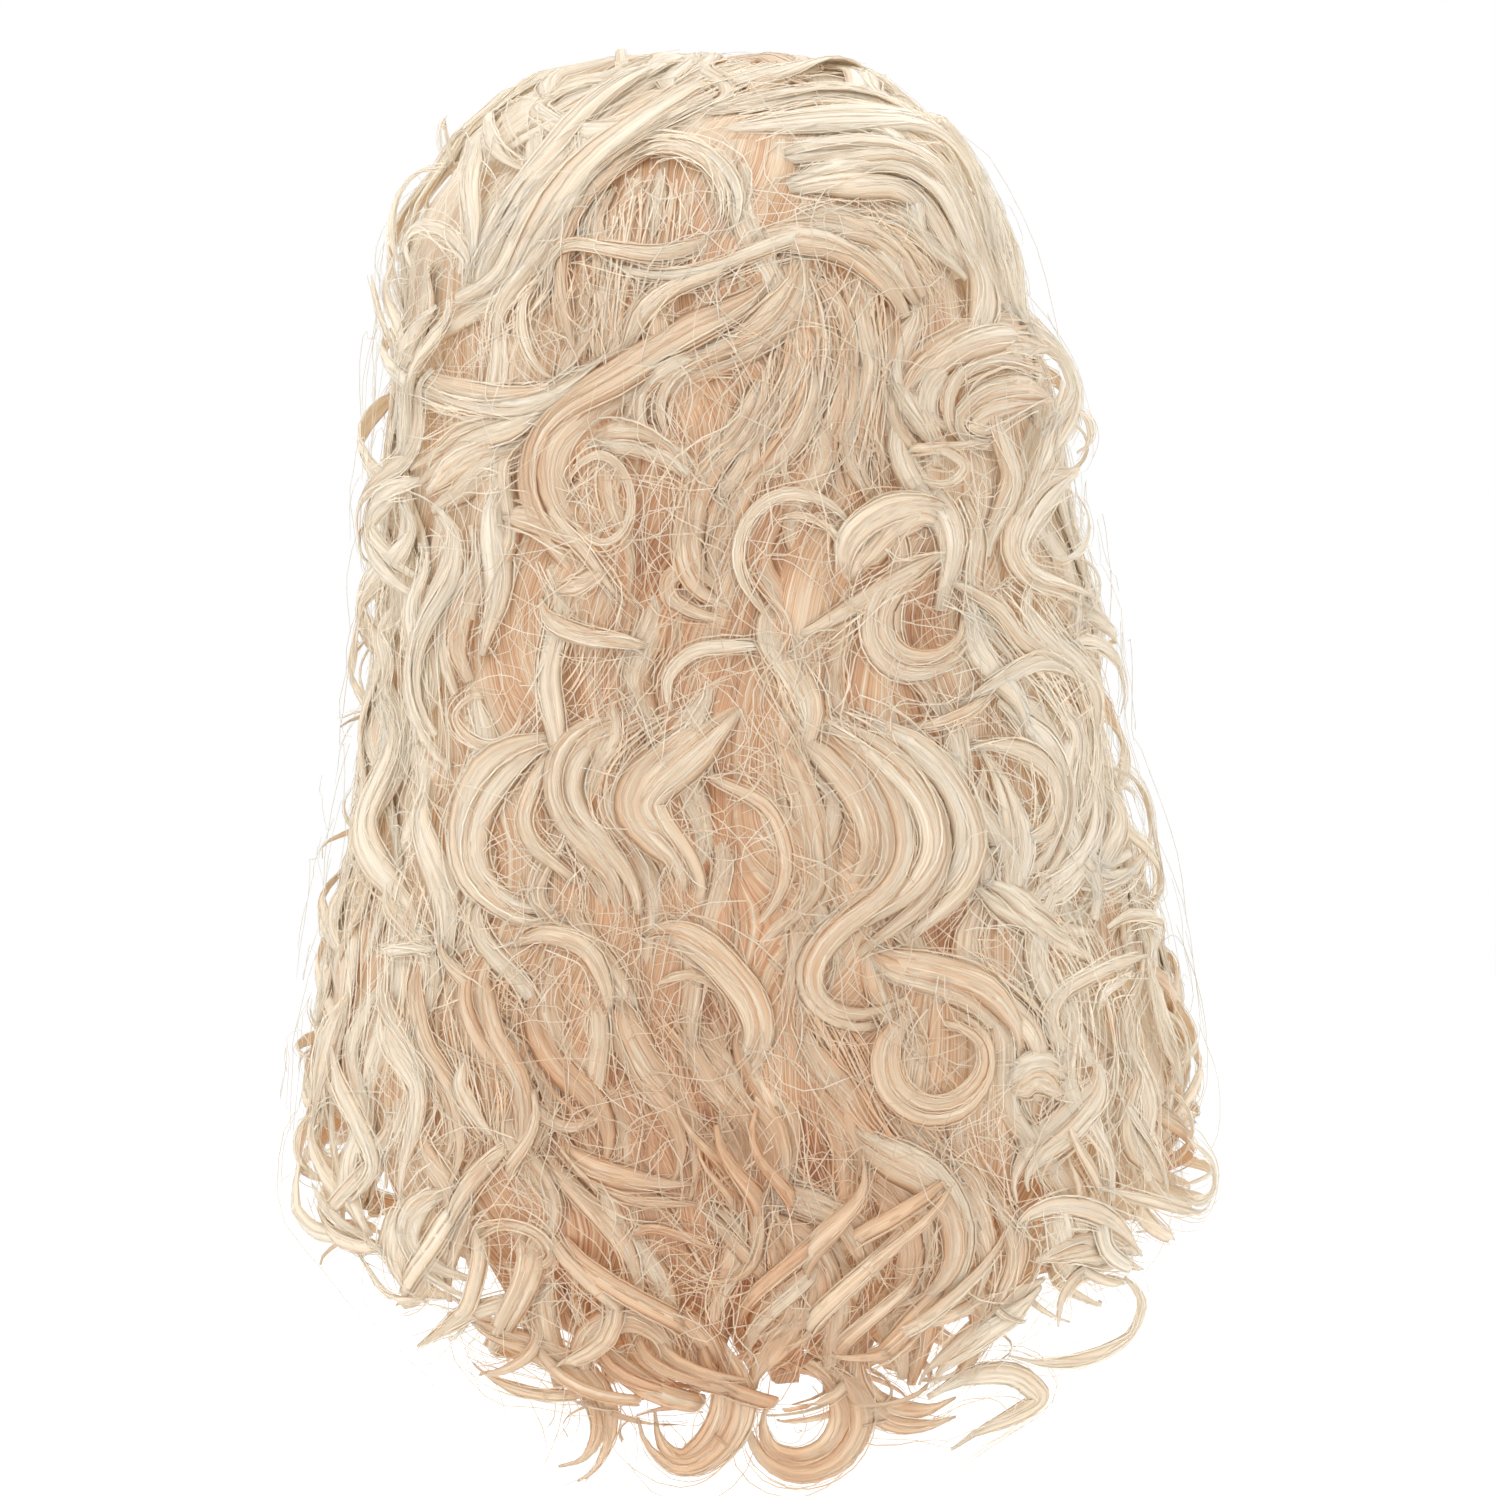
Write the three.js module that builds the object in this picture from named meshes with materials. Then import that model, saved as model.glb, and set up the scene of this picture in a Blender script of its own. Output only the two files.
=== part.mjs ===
// Long curly wig with a fringe, modelled as it hangs when worn: a stretch cap that the hair
// is sewn to, a crown of hair over the cap, a short fringe over the forehead, and long waved
// locks side by side round the head and down the back.
//
// Millimetres, +Z up. The wearer faces -Y, so the back of the wig is +Y, the wearer's left
// is +X and the wearer's right is -X. The origin is the top of the hollow inside the cap,
// where the crown of the head touches it.
//
// Azimuths are in degrees, 0 at the back (+Y), +90 at the wearer's left (+X), 180 at the face.
import * as THREE from "three";

// ---------------------------------------------------------------- driving sizes
const HEAD_HALF_WIDTH = 76; // hollow of the cap, across the ears
const HEAD_HALF_DEPTH = 98; // hollow of the cap, brow to back
const HEAD_WIDEST_DROP = 95; // from the crown down to the widest level of the head
const HEAD_LOWER_AXIS = 150; // how slowly the skull narrows below that level
const CAP_WALL = 1.5; // stretch net with its sewn wefts
const ROOT_GAP = 2.6; // between the cap and the inside of the hair
const CROWN_RIM_Z = -25; // lower face of the crown hair, upper face of the locks is just below
const CROWN_TOP = { x: 10, y: -4, z: 38 }; // highest point of the hair
const RIM_GAP = 0.8; // between the crown hair and the locks and fringe under it
const LOCK_GAP_DEG = 0.55; // half of the parting between two locks
const LEVEL_STEP = 22; // height between the sections of a lock
const FACE_EDGE_DEG = 146; // where the long locks stop and the fringe starts
const TIP_LENGTH = 78; // the end of a long lock that narrows
const TIP_MOST = 0.45; // and at most this share of a short one
const TIP_WIDTH_SHARE = 0.42; // width left at the very end
const TIP_DEPTH_SHARE = 0.42; // thickness left at the very end

// Waves that run down the hair. Neighbouring locks wave together, so they never cross.
const WAVE_LENGTH = 132;
const WAVE_SWING_DEG = 4.6; // sideways swing of a lock, full from mid length down
const WAVE_LIFT = 5.5; // how far a wave stands off and falls back
const LOBE_DEPTH = 8.5; // how much lower the parting lies than the ridge of a lock

// Outer form of the hair, one row for each height: how far it reaches from the axis.
const OUTLINE = [
  { z: 38, left: 10, right: 10, back: 10, front: 10 },
  { z: 34, left: 62, right: 38, back: 42, front: 40 },
  { z: 27, left: 92, right: 66, back: 64, front: 60 },
  { z: 15, left: 104, right: 79, back: 86, front: 78 },
  { z: 3, left: 117, right: 90, back: 102, front: 90 },
  { z: -9, left: 123, right: 101, back: 114, front: 100 },
  { z: -25, left: 135, right: 110, back: 126, front: 108 },
  { z: -45, left: 144, right: 118, back: 138, front: 115 },
  { z: -69, left: 144, right: 125, back: 146, front: 119 },
  { z: -93, left: 148, right: 137, back: 151, front: 119 },
  { z: -141, left: 152, right: 143, back: 154, front: 116 },
  { z: -189, left: 153, right: 157, back: 153, front: 116 },
  { z: -237, left: 161, right: 158, back: 150, front: 120 },
  { z: -285, left: 166, right: 174, back: 148, front: 126 },
  { z: -333, left: 176, right: 184, back: 148, front: 130 },
  { z: -381, left: 182, right: 191, back: 148, front: 130 },
  { z: -429, left: 183, right: 195, back: 144, front: 126 },
  { z: -465, left: 166, right: 178, back: 134, front: 118 },
  { z: -501, left: 140, right: 150, back: 122, front: 110 },
  { z: -545, left: 118, right: 126, back: 108, front: 100 },
];

// Thickness of the hanging hair below the head, by azimuth.
const HANGING_DEPTH = [
  { deg: 0, depth: 44 },
  { deg: 60, depth: 38 },
  { deg: 100, depth: 27 },
  { deg: 146, depth: 32 },
  { deg: 180, depth: 24 },
];

// Lower edge of the cap, by azimuth: forehead, temple, ear, behind the ear, nape.
const CAP_EDGE = [
  { deg: 0, z: -148 },
  { deg: 40, z: -143 },
  { deg: 65, z: -122 },
  { deg: 90, z: -90 },
  { deg: 115, z: -82 },
  { deg: 140, z: -66 },
  { deg: 180, z: -50 },
];

// The long locks, from the wearer's right cheek round the back to the left cheek.
// tip is the height of the lower end, flare how far the end stands out or tucks in.
const LOCKS = [
  { name: "lock_right_1", tip: -398, flare: 2 },
  { name: "lock_right_2", tip: -414, flare: 4 },
  { name: "lock_right_3", tip: -405, flare: 0 },
  { name: "lock_right_4", tip: -428, flare: 5 },
  { name: "lock_right_5", tip: -452, flare: 6 },
  { name: "lock_right_6", tip: -470, flare: -2 },
  { name: "lock_back_1", tip: -494, flare: 2 },
  { name: "lock_back_2", tip: -514, flare: 6 },
  { name: "lock_back_3", tip: -531, flare: 0 },
  { name: "lock_back_4", tip: -537, flare: 4 },
  { name: "lock_back_5", tip: -528, flare: 6 },
  { name: "lock_back_6", tip: -537, flare: 1 },
  { name: "lock_back_7", tip: -524, flare: 5 },
  { name: "lock_back_8", tip: -496, flare: 0 },
  { name: "lock_left_6", tip: -468, flare: 4 },
  { name: "lock_left_5", tip: -446, flare: 3 },
  { name: "lock_left_4", tip: -436, flare: -2 },
  { name: "lock_left_3", tip: -410, flare: 4 },
  { name: "lock_left_2", tip: -418, flare: 2 },
  { name: "lock_left_1", tip: -396, flare: 0 },
];

// The fringe, from the left temple across the forehead to the right temple.
const FRINGE = [
  { name: "fringe_left", tip: -112, flare: 2 },
  { name: "fringe_mid_left", tip: -102, flare: 4 },
  { name: "fringe_mid", tip: -98, flare: 3 },
  { name: "fringe_mid_right", tip: -104, flare: 4 },
  { name: "fringe_right", tip: -114, flare: 2 },
];

// ---------------------------------------------------------------- small helpers
const rad = THREE.MathUtils.degToRad;
const clamp01 = (t) => Math.min(1, Math.max(0, t));
const smooth = (t) => clamp01(t) ** 2 * (3 - 2 * clamp01(t));
const mix = (a, b, t) => a + (b - a) * t;

// Reads a column of a table at a value of its key column, easing linearly between rows.
function read(table, key, at, column) {
  const up = table[table.length - 1][key] > table[0][key];
  const row = table.findIndex((r) => (up ? r[key] >= at : r[key] <= at));
  if (row === 0) return table[0][column];
  if (row < 0) return table[table.length - 1][column];
  const a = table[row - 1],
    b = table[row];
  return mix(a[column], b[column], (at - a[key]) / (b[key] - a[key]));
}

const fold = (deg) => Math.abs(((((deg + 180) % 360) + 360) % 360) - 180); // 0 back to 180 face

// Radius of a flattened oval with four different half axes.
function oval(deg, left, right, back, front, power = 2.25) {
  const sx = Math.sin(rad(deg)),
    cy = Math.cos(rad(deg));
  const ax = sx >= 0 ? left : right,
    ay = cy >= 0 ? back : front;
  return (
    ((Math.abs(sx) / ax) ** power + (Math.abs(cy) / ay) ** power) ** (-1 / power)
  );
}

// The head's own surface: an egg, narrower below its widest level.
function headRadius(deg, z) {
  const below = -z - HEAD_WIDEST_DROP;
  const axis = below < 0 ? HEAD_WIDEST_DROP : HEAD_LOWER_AXIS;
  const share = Math.sqrt(Math.max(0, 1 - (below / axis) ** 2));
  return oval(
    deg,
    HEAD_HALF_WIDTH * share,
    HEAD_HALF_WIDTH * share,
    HEAD_HALF_DEPTH * share,
    HEAD_HALF_DEPTH * share,
    2,
  );
}

function outerRadius(deg, z) {
  const at = (side) => read(OUTLINE, "z", z, side);
  return oval(deg, at("left"), at("right"), at("back"), at("front"));
}

// Inside of the hair: close to the cap over the head, then a hollow for neck and shoulders.
function innerRadius(deg, z) {
  const onHead = headRadius(deg, Math.max(z, -200)) + CAP_WALL + ROOT_GAP;
  const hanging =
    outerRadius(deg, z) - read(HANGING_DEPTH, "deg", fold(deg), "depth");
  return mix(onHead, Math.max(hanging, onHead), smooth((-z - 118) / 96));
}

const wavePhase = (deg) => 1.1 * Math.sin(rad(2.2 * deg)) + 0.5 * Math.cos(rad(5 * deg));
const waveAt = (deg, z) => (2 * Math.PI * -z) / WAVE_LENGTH + wavePhase(deg);
const waveGrowth = (z) => smooth((-z - 20) / 150);
const swung = (deg, z) =>
  deg + WAVE_SWING_DEG * waveGrowth(z) * Math.sin(waveAt(deg, z));

const polar = (deg, r, z) =>
  new THREE.Vector3(r * Math.sin(rad(deg)), r * Math.cos(rad(deg)), z);

function geometryOf(points, triangles) {
  const position = new Float32Array(points.flatMap((p) => [p.x, p.y, p.z]));
  const volume = triangles.reduce((sum, [a, b, c]) => {
    const pa = points[a],
      pb = points[b],
      pc = points[c];
    return sum + pa.dot(new THREE.Vector3().crossVectors(pb, pc)) / 6;
  }, 0);
  const facing =
    volume > 0 ? triangles : triangles.map(([a, b, c]) => [a, c, b]);
  const geometry = new THREE.BufferGeometry();
  geometry.setAttribute("position", new THREE.BufferAttribute(position, 3));
  geometry.setIndex(facing.flat());
  geometry.computeVertexNormals();
  return geometry;
}

// ---------------------------------------------------------------- a lock of hair
const ACROSS_OUTSIDE = [-1, -0.55, 0, 0.55, 1]; // points over the ridge, from parting to parting
const ACROSS_INSIDE = [1, 0, -1];

// One level section of a lock between two partings.
function lockSection(lock, from, to, z) {
  const narrowing = Math.min(TIP_LENGTH, TIP_MOST * (CROWN_RIM_Z - lock.tip));
  const end = smooth(1 - (z - lock.tip) / narrowing);
  const half =
    ((to - from) / 2 - LOCK_GAP_DEG) * mix(1, TIP_WIDTH_SHARE, end);
  const middle = (from + to) / 2;
  const point = (s, outside) => {
    const deg = swung(middle + s * half, z);
    const low = innerRadius(deg, z);
    const lift = WAVE_LIFT * waveGrowth(z) * Math.cos(waveAt(middle, z) + 0.7);
    const high =
      outerRadius(deg, z) -
      LOBE_DEPTH * s * s * waveGrowth(z - 60) +
      lift -
      WAVE_LIFT * waveGrowth(z);
    const centre = (low + high) / 2 + lock.flare * end;
    const depth = ((high - low) / 2) * mix(1, TIP_DEPTH_SHARE, end);
    return polar(deg, centre + (outside ? depth : -depth), z);
  };
  return [
    ...ACROSS_OUTSIDE.map((s) => point(s, true)),
    ...ACROSS_INSIDE.map((s) => point(s, false)),
  ];
}

// Joins level sections into one closed solid. Both faces of a parting are split along the
// same diagonal, so that two locks keep their gap between levels.
function loft(sections) {
  const n = sections[0].length;
  const points = sections.flat();
  const triangles = [];
  for (let k = 0; k + 1 < sections.length; k++)
    for (let j = 0; j < n; j++) {
      const a = k * n + j,
        b = k * n + ((j + 1) % n),
        c = a + n,
        d = b + n;
      if (j === n - 1) triangles.push([a, b, c], [b, d, c]);
      else triangles.push([a, b, d], [a, d, c]);
    }
  const lid = (k, reversed) => {
    const ring = sections[k].map((p) => new THREE.Vector2(p.x, p.y));
    const turn = Math.sign(THREE.ShapeUtils.area(ring));
    for (const [a, b, c] of THREE.ShapeUtils.triangulateShape(ring, [])) {
      const same = Math.sign(THREE.ShapeUtils.area([ring[a], ring[b], ring[c]])) === turn;
      const [first, second] = same === reversed ? [c, b] : [b, c];
      triangles.push([k * n + a, k * n + first, k * n + second]);
    }
  };
  lid(0, true);
  lid(sections.length - 1, false);
  return geometryOf(points, triangles);
}

function lockLevels(lock) {
  const top = CROWN_RIM_Z - RIM_GAP;
  const levels = [];
  for (let z = top; z > lock.tip + LEVEL_STEP * 0.35; z -= LEVEL_STEP) levels.push(z);
  return [...levels, lock.tip];
}

function lockGeometry(lock, from, to) {
  return loft(lockLevels(lock).map((z) => lockSection(lock, from, to, z)));
}

// ---------------------------------------------------------------- closed shells
// A dome with an inside and an outside, each from its own apex down to a shared rim.
function domeGeometry(around, down, insideTop, outsideTop, inside, outside) {
  const points = [insideTop, outsideTop];
  const triangles = [];
  const at = (side, row, col) => 2 + ((row - 1) * around + (col % around)) * 2 + side;
  for (let row = 1; row <= down; row++)
    for (let col = 0; col < around; col++) {
      const deg = (360 * col) / around;
      points.push(inside(deg, row / down), outside(deg, row / down));
    }
  for (let col = 0; col < around; col++) {
    for (const side of [0, 1]) {
      const quad = (a, b, c, d) =>
        side ? triangles.push([a, b, c], [a, c, d]) : triangles.push([a, c, b], [a, d, c]);
      const a = at(side, 1, col),
        b = at(side, 1, col + 1);
      triangles.push(side ? [side, b, a] : [side, a, b]);
      for (let row = 1; row < down; row++)
        quad(at(side, row, col), at(side, row, col + 1), at(side, row + 1, col + 1), at(side, row + 1, col));
    }
    const i0 = at(0, down, col),
      i1 = at(0, down, col + 1),
      o0 = at(1, down, col),
      o1 = at(1, down, col + 1);
    triangles.push([i0, o0, o1], [i0, o1, i1]);
  }
  return geometryOf(points, triangles);
}

// The cap: an even wall over the head, cut along its edge table.
function capGeometry() {
  const level = (deg, share) => {
    const edge = read(CAP_EDGE, "deg", fold(deg), "z");
    return edge * (1 - Math.cos((share * Math.PI) / 2)) ** 0.86;
  };
  const wall = (extra) => (deg, share) => {
    const z = level(deg, share);
    return polar(deg, headRadius(deg, z) + extra, z + extra * (1 - share));
  };
  return domeGeometry(
    30,
    8,
    new THREE.Vector3(0, 0, 0),
    new THREE.Vector3(0, 0, CAP_WALL),
    wall(0),
    wall(CAP_WALL),
  );
}

// The crown: hair that turns out of the whorl and lies over the top of the cap.
const CROWN_LOBES = 9;
const CROWN_LOBE_DEPTH = 0.035;
const CROWN_SWIRL_DEG = 70;
function crownGeometry() {
  const outerLevels = OUTLINE.filter((r) => r.z < CROWN_TOP.z && r.z > CROWN_RIM_Z).map((r) => r.z);
  outerLevels.push(CROWN_RIM_Z);
  const down = outerLevels.length;
  const outside = (deg, share) => {
    const z = outerLevels[Math.round(share * down) - 1];
    const ridge = Math.cos(rad(CROWN_LOBES * (deg + CROWN_SWIRL_DEG * (1 - share))));
    return polar(deg, outerRadius(deg, z) * (1 - CROWN_LOBE_DEPTH * (0.5 - 0.5 * ridge) * share), z);
  };
  const inside = (deg, share) => {
    const clear = CAP_WALL + ROOT_GAP;
    const z = clear + (CROWN_RIM_Z - clear) * (1 - Math.cos((share * Math.PI) / 2)) ** 0.8;
    const r = headRadius(deg, Math.min(-1, z - clear * (1 - share)));
    return polar(deg, r * (share < 0.2 ? 0.9 : 1) + clear * share, z);
  };
  return domeGeometry(
    36,
    down,
    new THREE.Vector3(0, 0, CAP_WALL + ROOT_GAP),
    new THREE.Vector3(CROWN_TOP.x, CROWN_TOP.y, CROWN_TOP.z),
    inside,
    outside,
  );
}

// ---------------------------------------------------------------- the assembly
const hairTop = new THREE.MeshStandardMaterial({ color: 0xe6cfae, roughness: 0.55, metalness: 0 });
const hairLong = new THREE.MeshStandardMaterial({ color: 0xdcc19b, roughness: 0.55, metalness: 0 });
const hairFringe = new THREE.MeshStandardMaterial({ color: 0xe9d6b6, roughness: 0.55, metalness: 0 });
const net = new THREE.MeshStandardMaterial({ color: 0xcdb291, roughness: 0.9, metalness: 0 });

const wig = new THREE.Group();
wig.name = "curly_wig";
const add = (name, geometry, material, parent = wig) => {
  const mesh = new THREE.Mesh(geometry, material);
  mesh.name = name;
  parent.add(mesh);
};

add("wig_cap", capGeometry(), net);
add("crown_hair", crownGeometry(), hairTop);

const longLocks = new THREE.Group();
wig.add(longLocks);
const lockWidth = (2 * FACE_EDGE_DEG) / LOCKS.length;
LOCKS.forEach((lock, i) => {
  const from = -FACE_EDGE_DEG + i * lockWidth;
  add(lock.name, lockGeometry(lock, from, from + lockWidth), hairLong, longLocks);
});

const fringe = new THREE.Group();
wig.add(fringe);
const fringeWidth = (360 - 2 * FACE_EDGE_DEG) / FRINGE.length;
FRINGE.forEach((lock, i) => {
  const from = FACE_EDGE_DEG + i * fringeWidth;
  add(lock.name, lockGeometry(lock, from, from + fringeWidth), hairFringe, fringe);
});

export default wig;
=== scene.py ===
import math

import bpy
import numpy as np
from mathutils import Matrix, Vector


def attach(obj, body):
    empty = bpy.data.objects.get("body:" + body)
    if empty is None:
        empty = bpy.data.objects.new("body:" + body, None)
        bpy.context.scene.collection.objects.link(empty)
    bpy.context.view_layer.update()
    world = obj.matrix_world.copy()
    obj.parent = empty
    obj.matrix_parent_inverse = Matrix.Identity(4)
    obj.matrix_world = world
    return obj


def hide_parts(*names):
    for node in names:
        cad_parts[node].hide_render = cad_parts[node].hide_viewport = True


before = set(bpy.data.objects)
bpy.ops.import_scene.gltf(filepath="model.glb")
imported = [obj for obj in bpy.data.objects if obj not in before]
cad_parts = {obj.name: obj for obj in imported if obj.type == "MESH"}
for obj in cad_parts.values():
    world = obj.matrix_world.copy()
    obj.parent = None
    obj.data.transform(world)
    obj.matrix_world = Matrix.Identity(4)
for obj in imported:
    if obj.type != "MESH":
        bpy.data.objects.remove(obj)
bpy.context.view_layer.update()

# ------------------------------------------------------------------ form of the hair (mm)
# Same outer form as the solids: reach from the axis at each height.
OUTLINE = np.array([
    # z, left, right, back, front
    (38, 10, 10, 10, 10),
    (34, 62, 38, 42, 40),
    (27, 92, 66, 64, 60),
    (15, 104, 79, 86, 78),
    (3, 117, 90, 102, 90),
    (-9, 123, 101, 114, 100),
    (-25, 135, 110, 126, 108),
    (-45, 144, 118, 138, 115),
    (-69, 144, 125, 146, 119),
    (-93, 148, 137, 151, 119),
    (-141, 152, 143, 154, 116),
    (-189, 153, 157, 153, 116),
    (-237, 161, 158, 150, 120),
    (-285, 166, 174, 148, 126),
    (-333, 176, 184, 148, 130),
    (-381, 182, 191, 148, 130),
    (-429, 183, 195, 144, 126),
    (-465, 166, 178, 134, 118),
    (-501, 140, 150, 122, 110),
    (-545, 118, 126, 108, 100),
], float)[::-1]
OVAL = 2.25
HANGING = np.array([(0, 44), (60, 38), (100, 27), (146, 32), (180, 24)], float)
HEAD_W, HEAD_D, HEAD_DROP, HEAD_LOW = 76.0, 98.0, 95.0, 150.0
FACE_EDGE = 146.0
RIGHT = [f"lock_right_{i}" for i in range(1, 7)]
BACK = [f"lock_back_{i}" for i in range(1, 9)]
LEFT = [f"lock_left_{i}" for i in range(6, 0, -1)]
LOCKS = RIGHT + BACK + LEFT
FRINGE = ["fringe_left", "fringe_mid_left", "fringe_mid", "fringe_mid_right", "fringe_right"]
TIP_Z = dict(zip(LOCKS, (-398, -414, -405, -428, -452, -470, -494, -514, -531, -537,
                         -528, -537, -524, -496, -468, -446, -436, -410, -418, -396)))


def smooth(t):
    t = np.clip(t, 0, 1)
    return t * t * (3 - 2 * t)


def half_axes(z):
    return [np.interp(z, OUTLINE[:, 0], OUTLINE[:, k]) for k in (1, 2, 3, 4)]


def reach(phi, z):
    left, right, back, front = half_axes(z)
    s, c = np.sin(phi), np.cos(phi)
    ax = np.where(s >= 0, left, right)
    ay = np.where(c >= 0, back, front)
    return ((np.abs(s) / ax) ** OVAL + (np.abs(c) / ay) ** OVAL) ** (-1 / OVAL)


def head_reach(phi, z):
    below = -z - HEAD_DROP
    axis = np.where(below < 0, HEAD_DROP, HEAD_LOW)
    share = np.sqrt(np.maximum(0, 1 - (below / axis) ** 2))
    return share / np.sqrt((np.sin(phi) / HEAD_W) ** 2 + (np.cos(phi) / HEAD_D) ** 2)


def inner_reach(phi, z):
    on_head = head_reach(phi, np.maximum(z, -200)) + 4.1
    fold = np.abs((np.degrees(phi) + 180) % 360 - 180)
    hanging = reach(phi, z) - np.interp(fold, HANGING[:, 0], HANGING[:, 1])
    k = smooth((-z - 118) / 96)
    return on_head + (np.maximum(hanging, on_head) - on_head) * k


def at(phi, z, lift=0.0):
    r = reach(phi, z) + lift
    return np.stack([r * np.sin(phi), r * np.cos(phi), z + 0 * r], -1)


def unit(v):
    return v / np.maximum(np.linalg.norm(v, axis=-1, keepdims=True), 1e-9)


def outward(p):
    """Outward direction of the hair's form near points p."""
    phi, z = np.arctan2(p[..., 0], p[..., 1]), p[..., 2]
    z = np.clip(z, -540, 36)
    r = np.maximum(reach(phi, z), 5)
    dz = (reach(phi, z + 1.5) - reach(phi, z - 1.5)) / 3
    dp = (reach(phi + 0.02, z) - reach(phi - 0.02, z)) / 0.04
    er = np.stack([np.sin(phi), np.cos(phi), 0 * z], -1)
    ep = np.stack([np.cos(phi), -np.sin(phi), 0 * z], -1)
    ez = np.array([0, 0, 1.0])
    return unit(er - ep * (dp / r)[..., None] - ez * dz[..., None])


def noise2(x, y, seed):
    """Smooth value noise between 0 and 1."""
    table = np.random.default_rng(seed).random((64, 64))
    xi, yi = np.floor(x).astype(int), np.floor(y).astype(int)
    xf, yf = smooth(x - xi), smooth(y - yi)
    a, b = table[xi % 64, yi % 64], table[(xi + 1) % 64, yi % 64]
    c, d = table[xi % 64, (yi + 1) % 64], table[(xi + 1) % 64, (yi + 1) % 64]
    return (a + (b - a) * xf) * (1 - yf) + (c + (d - c) * xf) * yf


# ------------------------------------------------------------------ camera and the view of the photograph
VIEW_SIDE = 1496.0
PX_PER_MM = 2.5
CAM = np.array([-5.2, 2600.0, -244.4])
PLANE_Y = 50.0


def from_view(x, y, lift):
    """Point of the hair's form, lifted, behind a place in the 1496 px view from the back."""
    depth = np.full(np.shape(x), 90.0)
    for _ in range(6):
        k = (CAM[1] - depth) / (CAM[1] - PLANE_Y)
        X = CAM[0] - (x - VIEW_SIDE / 2) / PX_PER_MM * k
        Z = CAM[2] + (VIEW_SIDE / 2 - y) / PX_PER_MM * k
        left, right, back, front = half_axes(np.clip(Z, -545, 37.5))
        a = np.where(X >= 0, left, right) + 8 + np.maximum(lift, -6)
        b = back + lift
        inside = np.maximum(0.10, 1 - (np.abs(X) / a) ** OVAL)  # locks at the outline stay a little to the back
        new = b * inside ** (1 / OVAL)
        depth = depth * 0.3 + new * 0.7
    return np.stack([X, depth, Z], -1)


def viewed(x, y, lift):
    """Like from_view for a path, with its depth evened out along it."""
    p = from_view(x, y, lift)
    p[:, 1] = settled(settled(p[:, 1], 9), 9)
    return p


def settled(x, k):
    """Running mean over k neighbours."""
    pad = np.concatenate([np.full(k // 2, x[0]), x, np.full(k // 2, x[-1])])
    return np.convolve(pad, np.ones(k) / k, "valid")


def to_view(p):
    """Where a point shows in the 1496 px view."""
    k = (CAM[1] - PLANE_Y) / (CAM[1] - p[..., 1])
    return VIEW_SIDE / 2 - (p[..., 0] - CAM[0]) * PX_PER_MM * k, VIEW_SIDE / 2 - (p[..., 2] - CAM[2]) * PX_PER_MM * k


# ------------------------------------------------------------------ the soft mass under the locks
# deeper places between the locks of the back view, darkened with painted shade: place and reach in view px, share of
# the full depth
SHADED_GAPS = [
    (605, 198, 26, 30, .5), (668, 205, 26, 44, .5), (648, 560, 34, 48, 1.), (797, 552, 30, 34, .5), (916, 622, 26, 30, .6),
    (699, 803, 26, 36, .9), (723, 866, 22, 44, .7), (654, 872, 16, 36, .6), (826, 858, 18, 46, .6), (930, 932, 40, 22, .8),
    (560, 1090, 40, 46, 1.), (724, 1132, 46, 34, .9), (820, 1150, 40, 40, .9), (1000, 1212, 26, 44, .9), (700, 1022, 34, 44, .8),
    (478, 640, 30, 44, .5), (520, 1252, 50, 24, .7), (585, 300, 20, 44, .5), (990, 425, 30, 20, .3), (990, 780, 34, 30, .4),
    (580, 828, 16, 40, .5), (400, 1090, 46, 44, .6), (1060, 1170, 34, 34, .6), (640, 1290, 34, 30, .6), (880, 1370, 36, 30, .6),
    (530, 470, 26, 26, .4), (760, 1290, 24, 40, .6), (430, 860, 30, 44, .5), (1075, 860, 34, 26, .4), (700, 1400, 30, 30, .5),
]


def warp(phi, z):
    """Sideways place of a point once the waves of the hair are straightened, in mm."""
    deg = np.degrees(phi)
    return (deg * 2.6 + 7.5 * np.sin(z / 24.0 + 3.0 * noise2(deg / 26 + 40, z / 90 + 20, 5))
            + 30 * (noise2(deg / 17 + 40, z / 62 + 30, 6) - 0.5))


def mass(phi, z):
    """Lift from the outer form and tone of the soft mass at (phi, z). The tone holds painted shade: deeper where the
    mass sinks and in the sunk gaps.
    """
    w = warp(phi, z)
    lump = noise2(w / 15 + 90, z / 46 + 30, 11) - 0.5
    fine = noise2(w / 3.8 + 400, z / 60 + 30, 12) - 0.5
    fold = np.abs((np.degrees(phi) + 180) % 360 - 180)
    lift = -9.0 - 4.0 * smooth((fold - 60) / 35) + 7.0 * lump + 1.7 * fine
    # painted shade: paler where the lumps raise the mass, deeper where they sink
    tone = 0.54 + 0.30 * lump + 0.22 * fine
    x, y = to_view(at(phi, z, -9))
    sink_and_shade = 0 * w
    for gx, gy, rx, ry, k in SHADED_GAPS:
        sink_and_shade = np.maximum(sink_and_shade, k * np.exp(-((x - gx) / rx) ** 2 - ((y - gy) / ry) ** 2))
    sink_and_shade = sink_and_shade * (fold < 95)
    # the gaps sink the mass and darken its tone with painted shade
    return lift - 7 * sink_and_shade, np.clip(tone - 0.36 * sink_and_shade, 0.04, 0.95)


def bed(p):
    """Lift of the soft mass under the points p."""
    phi, z = np.arctan2(p[..., 0], p[..., 1]), p[..., 2]
    k = smooth((z + 34) / 20)
    return mass(phi, np.clip(z, -540, 0))[0] * (1 - k) - 6.5 * k


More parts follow.
